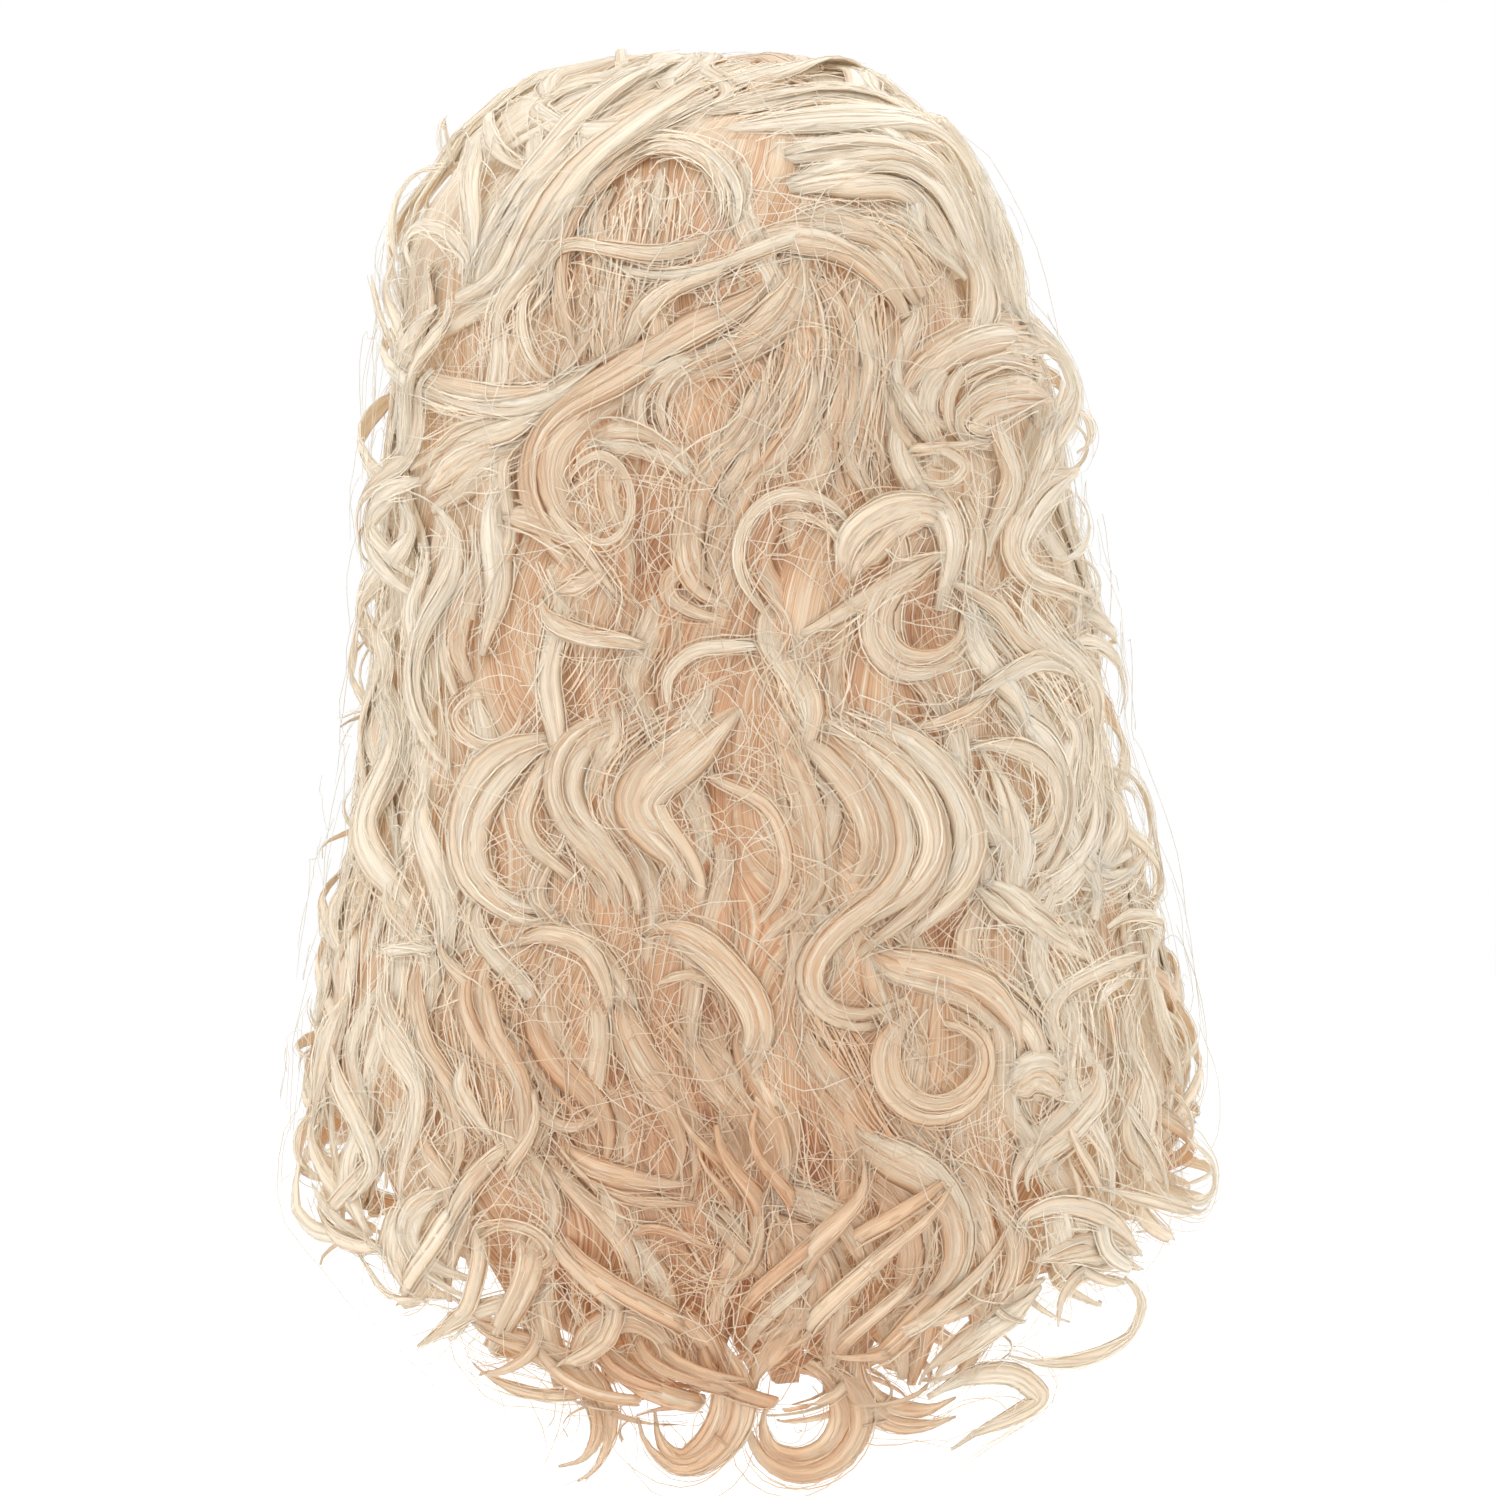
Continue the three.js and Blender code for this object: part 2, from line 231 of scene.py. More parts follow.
# ------------------------------------------------------------------ curves
def spline(points, n):
    """Smooth path through points (any dimension), n samples evenly spaced along it."""
    p = np.asarray(points, float)
    if len(p) == 2:
        p = np.stack([p[0], (p[0] + p[1]) / 2, p[1]])
    p = np.vstack([2 * p[0] - p[1], p, 2 * p[-1] - p[-2]])
    k = np.concatenate([[0], np.cumsum(np.maximum(np.linalg.norm(np.diff(p, axis=0), axis=1), 1e-6) ** 0.5)])
    out = []
    for i in range(1, len(p) - 2):
        t = np.linspace(k[i], k[i + 1], 14, endpoint=False)[:, None]
        a1 = (k[i] - t) / (k[i] - k[i - 1]) * p[i - 1] + (t - k[i - 1]) / (k[i] - k[i - 1]) * p[i]
        a2 = (k[i + 1] - t) / (k[i + 1] - k[i]) * p[i] + (t - k[i]) / (k[i + 1] - k[i]) * p[i + 1]
        a3 = (k[i + 2] - t) / (k[i + 2] - k[i + 1]) * p[i + 1] + (t - k[i + 1]) / (k[i + 2] - k[i + 1]) * p[i + 2]
        b1 = (k[i + 1] - t) / (k[i + 1] - k[i - 1]) * a1 + (t - k[i - 1]) / (k[i + 1] - k[i - 1]) * a2
        b2 = (k[i + 2] - t) / (k[i + 2] - k[i]) * a2 + (t - k[i]) / (k[i + 2] - k[i]) * a3
        out.append((k[i + 1] - t) / (k[i + 1] - k[i]) * b1 + (t - k[i]) / (k[i + 1] - k[i]) * b2)
    out.append(p[-2:-1])
    return even(np.vstack(out), n)


def even(p, n):
    s = np.concatenate([[0], np.cumsum(np.linalg.norm(np.diff(p, axis=0), axis=1))])
    q = np.linspace(0, s[-1], n)
    return np.stack([np.interp(q, s, p[:, j]) for j in range(p.shape[1])], -1)


def even_with(p, m, n):
    """Like even, and carries the directions m along."""
    s = np.concatenate([[0], np.cumsum(np.linalg.norm(np.diff(p, axis=0), axis=1))])
    q = np.linspace(0, s[-1], n)
    both = [np.stack([np.interp(q, s, a[:, j]) for j in range(3)], -1) for a in (p, m)]
    return both[0], unit(both[1])


def pace(p, bend, longest, most=44):
    """Shares along p, closer together where it bends: at most bend radians or longest mm between them."""
    seg = np.linalg.norm(np.diff(p, axis=0), axis=1)
    T = unit(np.diff(p, axis=0))
    ang = np.arccos(np.clip((T[1:] * T[:-1]).sum(1), -1, 1))
    ang = np.concatenate([[0], ang, [0]])
    d = seg / longest + 0.5 * (ang[1:] + ang[:-1]) / bend
    c = np.concatenate([[0], np.cumsum(d)])
    n = int(np.clip(math.ceil(c[-1]) + 3, 7, most))
    s = np.concatenate([[0], np.cumsum(seg)])
    index = np.interp(np.linspace(0, c[-1], n), c, np.arange(len(p)))
    return index / (len(p) - 1)


def length_of(p):
    return float(np.linalg.norm(np.diff(p, axis=0), axis=1).sum())


# ------------------------------------------------------------------ gathering strands by node
class Bucket:
    def __init__(self):
        self.v, self.q, self.t, self.quv, self.tuv, self.soft, self.n = [], [], [], [], [], [], 0

    def add(self, v, q, t, quv, tuv, soft=True):
        self.v.append(v)
        self.soft.append(np.full(len(q), soft))
        self.q.append(q + self.n)
        self.t.append(t + self.n)
        self.quv.append(quv)
        self.tuv.append(tuv)
        self.n += len(v)

    def triangles(self):
        return sum(2 * len(q) for q in self.q) + sum(len(t) for t in self.t)


buckets = {n: Bucket() for n in ["crown_hair"] + FRINGE + LOCKS}
SIDES = 3
TURN = np.array([math.pi / 6, 5 * math.pi / 6, 3 * math.pi / 2])  # a flat side faces out
BAND = 0.014  # how much of the tone scale one strand takes across


def node_for(p):
    """The node whose place a lock fills, from the middle of its path."""
    m = p.mean(axis=0)
    deg = math.degrees(math.atan2(m[0], m[1]))
    if m[2] > -25:
        return "crown_hair"
    if abs(deg) >= FACE_EDGE:
        k = int((deg % 360 - FACE_EDGE) / ((360 - 2 * FACE_EDGE) / len(FRINGE)))
        return FRINGE[min(max(k, 0), len(FRINGE) - 1)]
    k = int((deg + FACE_EDGE) / (2 * FACE_EDGE / len(LOCKS)))
    return LOCKS[min(max(k, 0), len(LOCKS) - 1)]


def painted_light_grade(p):
    """Painted light and shade: paler towards the crown and the outline, deeper towards the ends and on the front half
    of the sides.
    """
    z, deg = p[..., 2], np.degrees(np.abs(np.arctan2(p[..., 0], p[..., 1])))
    edge = smooth((deg - 18) / 45)
    return (0.13 * smooth((z + 110) / 110) - 0.10 - (0.13 - 0.06 * edge) * smooth((-z - 250) / 150)
            + 0.24 * edge - (0.12 - 0.08 * smooth((-z - 180) / 100)) * smooth((deg - 86) / 25))


def add_tubes(node, pts, rad, ref, tone, flat=1.25):
    """Closed three-sided strands. pts (S, N, 3) mm, rad (S, N), ref (S, N, 3), tone (S,)."""
    S, N, _ = pts.shape
    T = unit(np.gradient(pts, axis=1))
    B = unit(np.cross(T, ref))
    A = np.cross(B, T)
    ring = (np.cos(TURN)[None, None, :, None] * B[:, :, None] * flat
            + np.sin(TURN)[None, None, :, None] * A[:, :, None] / flat)
    v = pts[:, :, None] + ring * rad[:, :, None, None]
    idx = np.arange(S * N * SIDES).reshape(S, N, SIDES)
    j2 = np.roll(np.arange(SIDES), -1)
    q = np.stack([idx[:, :-1], idx[:, 1:], idx[:, 1:][:, :, j2], idx[:, :-1][:, :, j2]], -1).reshape(-1, 4)
    t = np.concatenate([idx[:, 0, :], idx[:, -1, ::-1]])
    u = np.linspace(0.01, 0.485, N)
    base = np.clip(tone + painted_light_grade(pts.mean(axis=1)), 0.02, 0.98)[:, None, None] + (np.arange(SIDES)[None, None] / SIDES - 0.5) * BAND
    lo = np.broadcast_to(base, (S, N - 1, SIDES))
    hi = lo + BAND / SIDES
    u0 = np.broadcast_to(u[None, :-1, None], lo.shape)
    u1 = np.broadcast_to(u[None, 1:, None], lo.shape)
    quv = np.stack([np.stack([u0, lo], -1), np.stack([u1, lo], -1), np.stack([u1, hi], -1), np.stack([u0, hi], -1)], -2)
    b = base[:, 0, 0]
    def cap(x):
        return np.stack([np.stack([np.full(S, x), b], -1), np.stack([np.full(S, x + 0.006), b], -1),
                         np.stack([np.full(S, x), b + BAND * 0.6], -1)], 1)
    tuv = np.concatenate([cap(0.004), cap(0.486)])
    buckets[node].add(v.reshape(-1, 3), q, t, quv.reshape(-1, 4, 2), tuv, soft=False)


def sampled(p, t):
    """Rows of p (N, 3) at shares t (S, M) of its length."""
    x = np.linspace(0, 1, len(p))
    return np.stack([np.interp(t, x, p[:, j]) for j in range(3)], -1)


def add_ribbon(node, P, M, width, thick, tone, rng, root=0.5, tip=0.1, ridge=0.10, bend=0.36, cup=0.11):
    """A closed, ridged ribbon of hair along P, its outer face towards M."""
    grid = pace(P, bend, 26.0)
    N = len(grid)
    P, M = sampled(P, grid), unit(sampled(M, grid))
    m = 6
    band = float(np.clip(width * 0.011, 0.04, 0.2))
    T = unit(np.gradient(P, axis=0))
    B = unit(np.cross(T, M))
    A = np.cross(B, T)
    s = grid[:, None]
    prof = (root + (1 - root) * smooth(s / 0.3)) * (1 - (1 - tip) * smooth((s - 0.55) / 0.45) ** 1.2)
    u = np.linspace(-1, 1, m + 1)
    u[1:-1] += rng.uniform(-0.35, 0.35, m - 1) / m
    wander = 0.45 / m * np.sin(2 * math.pi * (rng.uniform(0.6, 1.8, m + 1)[None] * s + rng.random(m + 1)[None]))
    wander[:, [0, -1]] = 0
    dome = np.sqrt(np.maximum(0, 1 - u * u)) ** 0.8
    sign = np.where(np.arange(m + 1) % 2 == 0, 1.0, -1.0)
    grow = sign * rng.uniform(0.3, 1.2, m + 1)
    sway = 0.55 * np.sin(2 * math.pi * (rng.uniform(0.5, 1.9, m + 1)[None] * s + rng.random(m + 1)[None]))
    lines = ridge * (2 * width / m) * 0.5 * (grow[None] + sway) * (0.3 + 0.7 * dome)[None]
    outer = thick / 2 * dome[None] * prof + lines * np.minimum(prof * 1.2, 1) - cup * width * prof * (u * u)[None]
    ui = np.array([0.8, 0.28, -0.28, -0.8])
    inner = (-thick / 2 * 0.6 * np.sqrt(1 - ui * ui) - cup * width * ui * ui)[None] * prof
    across = np.concatenate([u[None] + wander, np.repeat(ui[None], N, 0)], axis=1) * prof * width / 2
    out = np.concatenate([outer, inner], axis=1)
    v = P[:, None] + B[:, None] * across[..., None] + A[:, None] * out[..., None]
    C = v.shape[1]
    idx = np.arange(N * C).reshape(N, C)
    nxt = np.roll(idx, -1, axis=1)
    q = np.stack([idx[:-1], idx[1:], nxt[1:], nxt[:-1]], -1).reshape(-1, 4)
    c0, c1 = N * C, N * C + 1
    t = np.concatenate([np.stack([idx[0], nxt[0], np.full(C, c0)], -1), np.stack([nxt[-1], idx[-1], np.full(C, c1)], -1)])
    v = np.concatenate([v.reshape(-1, 3), v[0].mean(0, keepdims=True), v[-1].mean(0, keepdims=True)])
    # painted highlight along the crest of the lock, painted shade deeper towards its edges
    deep = float(np.clip(0.11 + width * 0.011, 0.14, 0.28))
    tone = float(np.clip(tone + painted_light_grade(P.mean(axis=0)), 0.02 + deep / 2, 0.98 - deep / 2))
    crest = rng.uniform(-0.35, 0.35)
    crest_highlight_edge_shade = tone + deep * (0.5 - (np.abs(u - crest) / (1 + abs(crest))) ** 1.6)
    # painted shade: the inner faces, on the underside of the ribbon, take a tone 0.12 deeper
    lo = np.concatenate([crest_highlight_edge_shade[:-1], np.maximum(tone - 0.12, 0.03 + band / 2) - band / 2 + band * np.arange(C - m) / (C - m)])
    dv = np.concatenate([np.diff(crest_highlight_edge_shade), np.full(C - m, band / (C - m))])
    uu = 0.01 + 0.475 * grid
    U0, V0 = np.meshgrid(uu[:-1], lo, indexing="ij")
    U1, V1 = np.meshgrid(uu[1:], lo + dv, indexing="ij")
    quv = np.stack([np.stack([U0, V0], -1), np.stack([U1, V0], -1), np.stack([U1, V1], -1), np.stack([U0, V1], -1)], -2)
    def lid(x0, x1):
        return np.stack([np.stack([np.full(C, x0), lo], -1), np.stack([np.full(C, x0), lo + dv], -1), np.stack([np.full(C, x1), lo + dv / 2], -1)], 1)
    tuv = np.concatenate([lid(0.01, 0.003), lid(0.485, 0.49)])
    buckets[node].add(v, q, t, quv.reshape(-1, 4, 2), tuv)


def frames(P, M):
    T = unit(np.gradient(P, axis=0))
    B = unit(np.cross(T, M))
    return B, np.cross(B, T)


def add_lock(P, M, width, tone, rng, parts=None, strands=3, node=None, tip=0.16, root=0.25, weave=0.22, flat=0.10, spread=0.04,
             bend=0.42, split=1.0, lines=0.36, lean=0.25):
    """A lock: thin ribbons along P, strands laid over them, and a few loose ones beside."""
    node = node or node_for(P)
    n = len(P)
    B, A = frames(P, M)
    parts = parts or (1 if width < 11 else 2)
    x = np.linspace(0, 1, n)[:, None]
    share = {1: 1.0, 2: 0.64}[parts]
    env = (root + (1 - root) * smooth(x / 0.3)) * (1 - 0.3 * smooth((x - 0.6) / 0.4))
    for k in range(parts):
        u = 0.0 if parts == 1 else (2 * k / (parts - 1) - 1) * (1 - share)
        uu = u + weave * 0.7 * np.sin(2 * math.pi * (rng.uniform(0.5, 1.2) * x + rng.random())) * (parts > 1)
        uu = uu + split * u * 0.9 * smooth((x - 0.72) / 0.28)
        vv = rng.uniform(-0.5, 0.5) + 0.7 * np.sin(2 * math.pi * (rng.uniform(0.5, 1.1) * x + rng.random()))
        Q = P + B * (width / 2 * env * uu) + A * (width * flat * 0.6 * env * vv) * (parts > 1)
        t = np.linspace(rng.random() * 0.06, 1 - rng.random() * 0.12, n)
        Q = sampled(Q, t)
        tilt = 0.4 * u + lean * np.sin(2 * math.pi * (0.8 * x + rng.random()))
        Mk = unit(A * np.cos(tilt) + B * np.sin(tilt))
        w = width * share * rng.uniform(0.9, 1.1)
        here = tone + rng.normal(0, spread)
        thick = w * flat + 0.5
        add_ribbon(node, Q, Mk, w, thick, here, rng, root=root, tip=tip, bend=bend)
        lay_strands(node, Q, Mk, w, thick, here + 0.06, rng, int(np.clip(w * lines + 2.5, 3, 9)), root, tip, bend * 1.15)
    if strands:
        near = np.minimum(width / 2, 5.0) + 0.8
        add_strands(P, B, A, near, (0.0, 0.5), np.minimum(width * 0.3, 3.0), tone + 0.08, rng, strands, node)


def lay_strands(node, P, M, width, thick, tone, rng, K, root, tip, bend):
    """Strands over the outer face and past the edges of a ribbon."""
    B, A = frames(P, M)
    grid = pace(P, bend, 30.0, 30)[None]
    a = rng.random((K, 1)) * 0.08
    b = 1.03 - rng.random((K, 1)) ** 1.5 * 0.18
    t = np.minimum(a + (b - a) * grid, 1.0)
    u = ((np.arange(K) + 0.5 + rng.uniform(-0.45, 0.45, K)) / K * 2.5 - 1.25)[:, None]
    u = u + 0.10 * np.sin(2 * math.pi * (rng.uniform(0.6, 1.8, (K, 1)) * t + rng.random((K, 1))))
    stray = (rng.random((K, 1)) < 0.3) * rng.normal(0, 0.6, (K, 1))
    u = u + stray * t ** 2
    prof = (root + (1 - root) * smooth(t / 0.3)) * (1 - (1 - tip) * smooth((t - 0.55) / 0.45) ** 1.2)
    dome = np.sqrt(np.maximum(0, 1 - np.minimum(np.abs(u), 1) ** 2)) ** 0.8
    rise = (thick / 2 * dome - 0.08 * width * np.minimum(u * u, 1.2)) * prof + np.abs(stray) * 1.2 * t ** 2
    c = sampled(P, t) + sampled(B, t) * (width / 2 * prof * u)[..., None] + sampled(A, t) * rise[..., None]
    rad = rng.uniform(0.18, 0.36, (K, 1)) * (0.6 + 0.4 * smooth(grid / 0.12)) * (1 - 0.65 * smooth((grid - 0.72) / 0.28))
    add_tubes(node, c, rad, sampled(A, t), tone + rng.normal(0, 0.08, K))


def add_strands(P, B, A, side, height, lift, tone, rng, K, node, part=0.55, r=(0.17, 0.30), bend=0.5, start=0.3):
    """Loose strands that run with a path and part from it towards its end."""
    grid = pace(P, bend, 30.0, 30)[None]
    a = rng.random((K, 1)) * start
    b = 1 - rng.random((K, 1)) * 0.15
    t = a + (b - a) * grid
    u = rng.uniform(-1.0, 1.0, (K, 1)) + 0.25 * np.sin(2 * math.pi * (rng.uniform(0.6, 1.8, (K, 1)) * t + rng.random((K, 1))))
    u = u + rng.normal(0, part, (K, 1)) * t ** 2
    v = rng.uniform(*height, (K, 1)) + rng.uniform(0, 0.5, (K, 1)) * t ** 2
    c = sampled(P, t) + sampled(B, t) * (side * u)[..., None] + sampled(A, t) * (lift * v)[..., None]
    rad = rng.uniform(*r, (K, 1)) * (1 - 0.6 * smooth((grid - 0.7) / 0.3))
    add_tubes(node, c, rad, sampled(A, t), tone + rng.normal(0, 0.08, K))


# ------------------------------------------------------------------ charted locks of the back view
# width in view px, tone 0 deep to 1 pale (partly the hair's own tone, partly painted light and shade, deeper where a
# lock lies sunk), lift of the ends and of the middle in mm, places in view px
CHART = [
    # low in the middle
    (34, .55, -5, 1, "500,930 470,985 478,1040 510,1090 515,1140 490,1190"),
    (30, .62, -5, 1, "560,945 545,1000 560,1055 600,1100 615,1150 600,1200"),
    (30, .52, -5, 1, "625,960 618,1015 640,1070 680,1120 690,1170 672,1215"),
    (26, .64, -4, 2, "690,985 700,1040 730,1090 765,1130 775,1180 760,1225"),
    (24, .55, -5, 1, "430,930 410,985 420,1045 450,1095 455,1150 430,1200"),
    (22, .62, -4, 2, "800,1010 815,1065 850,1110 870,1160 862,1200"),
    # right of the middle
    (26, .92, -3, 4, "985,690 1030,715 1062,760 1070,815 1050,865 1015,890"),
    (22, .90, -3, 4, "1010,905 1055,893 1090,853 1100,803 1085,755"),
    (20, .94, -3, 5, "1100,700 1075,740 1064,790 1077,840 1107,870 1137,860"),
    (20, .90, -3, 4, "975,740 1008,790 1022,845 1002,905"),
    # over the top and the crown
    (30, .62, -3, 3, "690,95 740,78 800,66 855,58 905,78 945,118"),
    (30, .72, -3, 5, "680,118 740,102 810,88 875,86 930,108 972,155 998,220"),
    (30, .66, -4, 4, "720,128 790,118 860,115 920,122 962,155 988,215 1000,290"),
    (32, .70, -4, 4, "760,160 830,148 890,146 935,165 965,210 985,270 1000,320"),
    (34, .62, -5, 3, "775,190 840,172 895,172 930,195 955,240 975,290"),
    (30, .50, -6, 0, "790,228 840,218 885,235 915,270 935,300"),
    (34, .55, -6, 1, "740,240 800,232 850,240 885,262 910,295 925,330"),
    (34, .68, -4, 4, "760,58 710,72 665,100 620,132 580,165 548,205 525,245 500,285 455,312 415,335"),
    (26, .60, -4, 2, "740,50 690,58 640,80 600,110 560,150 520,190 490,235 470,275"),
    (26, .55, -6, 1, "720,95 670,122 620,152 585,185 560,225 552,270 556,320 565,370"),
    (14, .70, -6, 3, "620,165 650,148 690,150 718,175 722,205 705,232"),
    (12, .78, -5, 4, "640,150 680,140 715,155 738,190 735,225 712,245"),
    (13, .90, -4, 8, "728,215 705,242 660,254 605,247 570,244 553,256 548,285 552,320"),
    (12, .85, -5, 7, "905,222 850,224 800,236 750,254 705,270 655,275 605,262 565,252"),
    (16, .85, -4, 7, "760,252 715,270 665,290 640,315 628,345 615,375"),
    (16, .42, -8, -5, "640,170 630,205 622,240"),
    (16, .46, -8, -5, "660,165 655,210 650,248"),
    (16, .46, -8, -5, "690,180 688,215 680,248"),
    (26, .55, -6, -2, "580,270 588,320 592,370"),
    (22, .58, -6, -2, "610,270 612,320 600,365"),
    (18, .42, -8, -4, "560,265 560,310 565,350"),
    (38, .66, -5, 5, "790,235 778,280 745,310 695,335 650,362 612,388 575,408 548,435 538,470 545,510 570,540 605,580 640,622"),
    (10, .85, -2, 8, "600,388 560,418 543,455 542,490 556,522 582,548 612,590 645,628"),
    (30, .60, -6, 3, "800,240 795,290 770,325 730,350 690,368 655,392 645,420 652,445"),
    (14, .80, -4, 6, "735,350 690,357 655,375 638,402 645,432 668,455"),
    (8, .85, -3, 5, "740,365 700,362 670,380 660,410 670,440 690,458"),
    (30, .55, -7, -1, "770,330 772,380 755,430 722,472 700,520 690,560 705,590"),
    (28, .58, -7, 1, "795,320 802,370 790,420 762,460 735,490 712,520"),
    (8, .75, -4, 4, "760,350 765,390 745,435 715,470"),
    (8, .80, -4, 5, "812,345 815,390 800,430 784,458 788,482 806,496"),
    (22, .60, -6, 1, "845,300 856,350 850,400 838,440 850,485 870,510"),
    (24, .58, -6, 0, "860,260 868,320 880,370 875,420 870,470 860,510"),
    (14, .66, -6, 2, "800,262 835,300 852,345 850,395"),
    (20, .50, -7, -2, "890,300 888,350 880,400 885,450 895,495"),
    # swirl at the right
    (30, .62, -6, 2, "1040,325 995,325 950,340 915,370 900,405 915,435 950,448"),
    (22, .68, -5, 5, "1050,350 1000,345 955,360 930,390 930,420 955,440"),
    (16, .60, -6, 3, "1045,372 1000,358 965,372 950,400 955,430 985,440"),
    (26, .60, -6, 1, "1055,400 1015,398 985,405 965,425 985,438 1010,430"),
    (22, .72, -4, 4, "1000,300 1040,330 1068,362 1076,395 1062,428 1035,450"),
    (22, .75, -4, 3, "985,210 1010,260 1022,310 1040,345"),
    (20, .72, -4, 3, "960,150 990,200 1005,260 1012,310"),
    (5, .85, 0, 5, "890,450 940,447 1000,440"),
    (6, .78, -2, 4, "905,455 942,450 964,466 952,482 925,482 912,468"),
    (16, .68, -4, 3, "1060,400 1050,440 1035,480 1018,520 1012,555"),
    (22, .72, -4, 5, "1080,470 1050,488 1025,518 1016,550 1032,576 1065,588 1100,605"),
    (8, .70, -2, 2, "1070,405 1088,420 1090,440 1075,455"),
    (6, .75, -2, 2, "1075,490 1088,515 1085,545 1065,560 1045,555"),
    # rings and ribbons of the middle
    (9, .92, -2, 10, "850,548 848,522 826,501 793,492 762,503 742,530 737,562 748,592 770,618 790,634"),
    (5, .80, -2, 5, "770,520 800,515 830,530 845,555"),
    (30, .82, -4, 9, "846,590 858,550 890,518 930,510 955,528"),
    (14, .75, -2, 7, "955,545 915,570 880,590 840,614 803,633 778,636"),
    (20, .80, -3, 7, "950,555 905,575 880,605 880,642 903,665 940,663 965,640 970,605"),
    (6, .92, 0, 10, "565,500 573,472 598,453 620,466 631,497 626,526 606,544 588,538 572,518 566,492"),
    (20, .85, -2, 8, "586,447 603,436 640,438 672,456 700,480"),
    (22, .60, -6, 2, "700,452 690,500 688,545 702,580 735,602"),
    (13, .72, -3, 5, "725,578 690,570 670,580 672,600 700,615 740,622"),
    (18, .80, -2, 7, "490,514 530,520 570,538 602,556"),
    (15, .65, -3, 4, "606,560 588,580 552,592"),
    (14, .85, -2, 7, "538,592 548,618 580,634 620,640 668,652"),
    (10, .88, -2, 8, "782,645 735,646 692,652 668,676 668,704 680,725"),
    (22, .70, -5, 3, "610,345 575,378 535,398 482,402 432,390 398,382"),
    (8, .85, -2, 6, "600,365 560,395 510,412 455,402 410,385"),
    (24, .70, -4, 4, "560,400 510,425 462,438 432,460 408,480"),
    (28, .60, -6, 1, "545,440 490,458 448,485 425,505"),
    (20, .72, -4, 3, "425,478 393,490 372,512 370,540 390,568 420,590"),
    (22, .80, -3, 6, "432,505 450,530 446,570 426,610 413,650 413,695 428,735 455,765"),
    (26, .50, -7, -1, "470,520 480,560 460,600 450,650 465,700"),
    (6, .70, -2, 4, "525,700 515,730 490,745 465,735 455,715 470,698 500,700"),
    (14, .72, -4, 2, "398,600 380,630 385,670 372,705"),
    (10, .70, -4, 2, "370,590 355,640 352,690"),
    # long waves
    (24, .78, -4, 6, "575,735 520,752 485,782 466,828 470,872 497,902 535,916 578,905"),
    (12, .82, -2, 7, "556,740 533,782 522,818 532,846 565,872 598,895"),
    (28, .76, -4, 7, "640,715 595,728 566,755 558,790 568,822 594,852 618,882 626,912 615,942"),
    (18, .82, -2, 8, "505,948 545,936 585,950 604,985 610,1025"),
    (12, .78, -3, 5, "437,925 440,952 457,976 485,998 515,1018"),
    (10, .80, -2, 5, "376,952 410,948 442,952"),
    (28, .78, -3, 8, "755,695 715,726 680,756 648,785 640,806 655,832 678,856 691,886 686,916"),
    (11, .88, -2, 8, "716,745 711,775 735,789 765,806 783,840 786,875 774,906 748,936"),
    (22, .62, -5, 3, "768,700 790,760 808,812 820,860 822,890 800,920 770,946 752,976"),
    (22, .85, -3, 9, "845,712 912,742 952,785 970,832 964,872 938,902 905,926 878,950"),
    (26, .88, -3, 10, "815,712 885,752 928,800 940,850 922,892 885,922 848,946 824,975"),
    (24, .80, -3, 9, "785,705 855,752 890,800 900,850 884,888 846,917 818,947 808,977 818,1005 850,1021 892,1015 928,997"),
    (24, .60, -5, 3, "770,712 830,752 865,800 875,845 862,880 832,910"),
    (22, .85, -2, 9, "632,942 665,933 702,946 732,972 753,1002 758,1032 746,1060 715,1072"),
    (5, .85, -1, 6, "650,986 690,975 718,990 725,1015"),
    (28, .70, -4, 6, "850,938 892,965 942,980 982,1000 1006,1032 1010,1065"),
    (20, .85, -2, 11, "928,998 905,1020 890,1050 896,1086 926,1108 962,1102 986,1072 984,1040 960,1018 935,1012"),
    (15, .80, -3, 6, "955,750 1002,745 1042,761 1059,796 1047,831 1008,849 962,857"),
    (10, .76, -2, 4, "1092,690 1097,730 1096,775 1085,812 1050,838 1005,850"),
    (9, .80, -2, 4, "1098,764 1131,776 1148,803 1148,846 1130,876 1095,890 1058,880"),
    (6, .80, -1, 3, "1148,800 1158,850 1162,890 1150,905"),
    (28, .68, -4, 4, "968,878 1012,902 1052,930 1095,945"),
    (16, .75, -3, 6, "1150,955 1102,968 1062,990 1050,1020 1065,1048 1098,1054"),
    (9, .75, -2, 5, "1135,972 1106,990 1097,1018"),
    (26, .75, -3, 3, "1148,955 1160,1010 1178,1060 1185,1100"),
    (12, .70, -2, 3, "1165,945 1160,920 1130,915 1105,930"),
    (16, .70, -3, 4, "930,573 970,590 1002,612 1025,642 1062,662 1098,685"),
    (14, .78, -3, 5, "955,708 1000,682 1042,662 1072,672 1092,695"),
    (10, .75, -2, 3, "1050,655 1085,640 1110,650 1125,690 1118,725"),
    (8, .75, -2, 4, "1000,690 960,715 910,728 885,725"),
    # lower hair and its ends
    (16, .75, -4, 4, "395,1000 386,1025 395,1055 414,1085 413,1125 402,1165 398,1210"),
    (16, .80, -4, 5, "470,1045 458,1085 475,1118 500,1146"),
    (15, .82, -3, 6, "525,1135 492,1160 463,1190 448,1225 448,1262"),
    (20, .80, -3, 6, "458,1190 420,1204 405,1230 414,1258 444,1279 482,1292"),
    (10, .85, -3, 6, "527,1045 523,1085 540,1113 572,1127 605,1112 622,1085"),
    (22, .80, -3, 6, "560,1122 570,1155 605,1178 652,1192 708,1195"),
    (15, .78, -4, 5, "530,1130 560,1172 600,1215 628,1255 640,1300 634,1342"),
    (8, .75, -2, 4, "472,1240 502,1225 540,1236 550,1258 520,1270 482,1262"),
    (13, .75, -3, 4, "560,1285 515,1300 470,1312 440,1332 408,1353"),
    (22, .70, -4, 4, "450,1298 485,1330 525,1346 565,1364 595,1395 602,1432 585,1468 555,1478"),
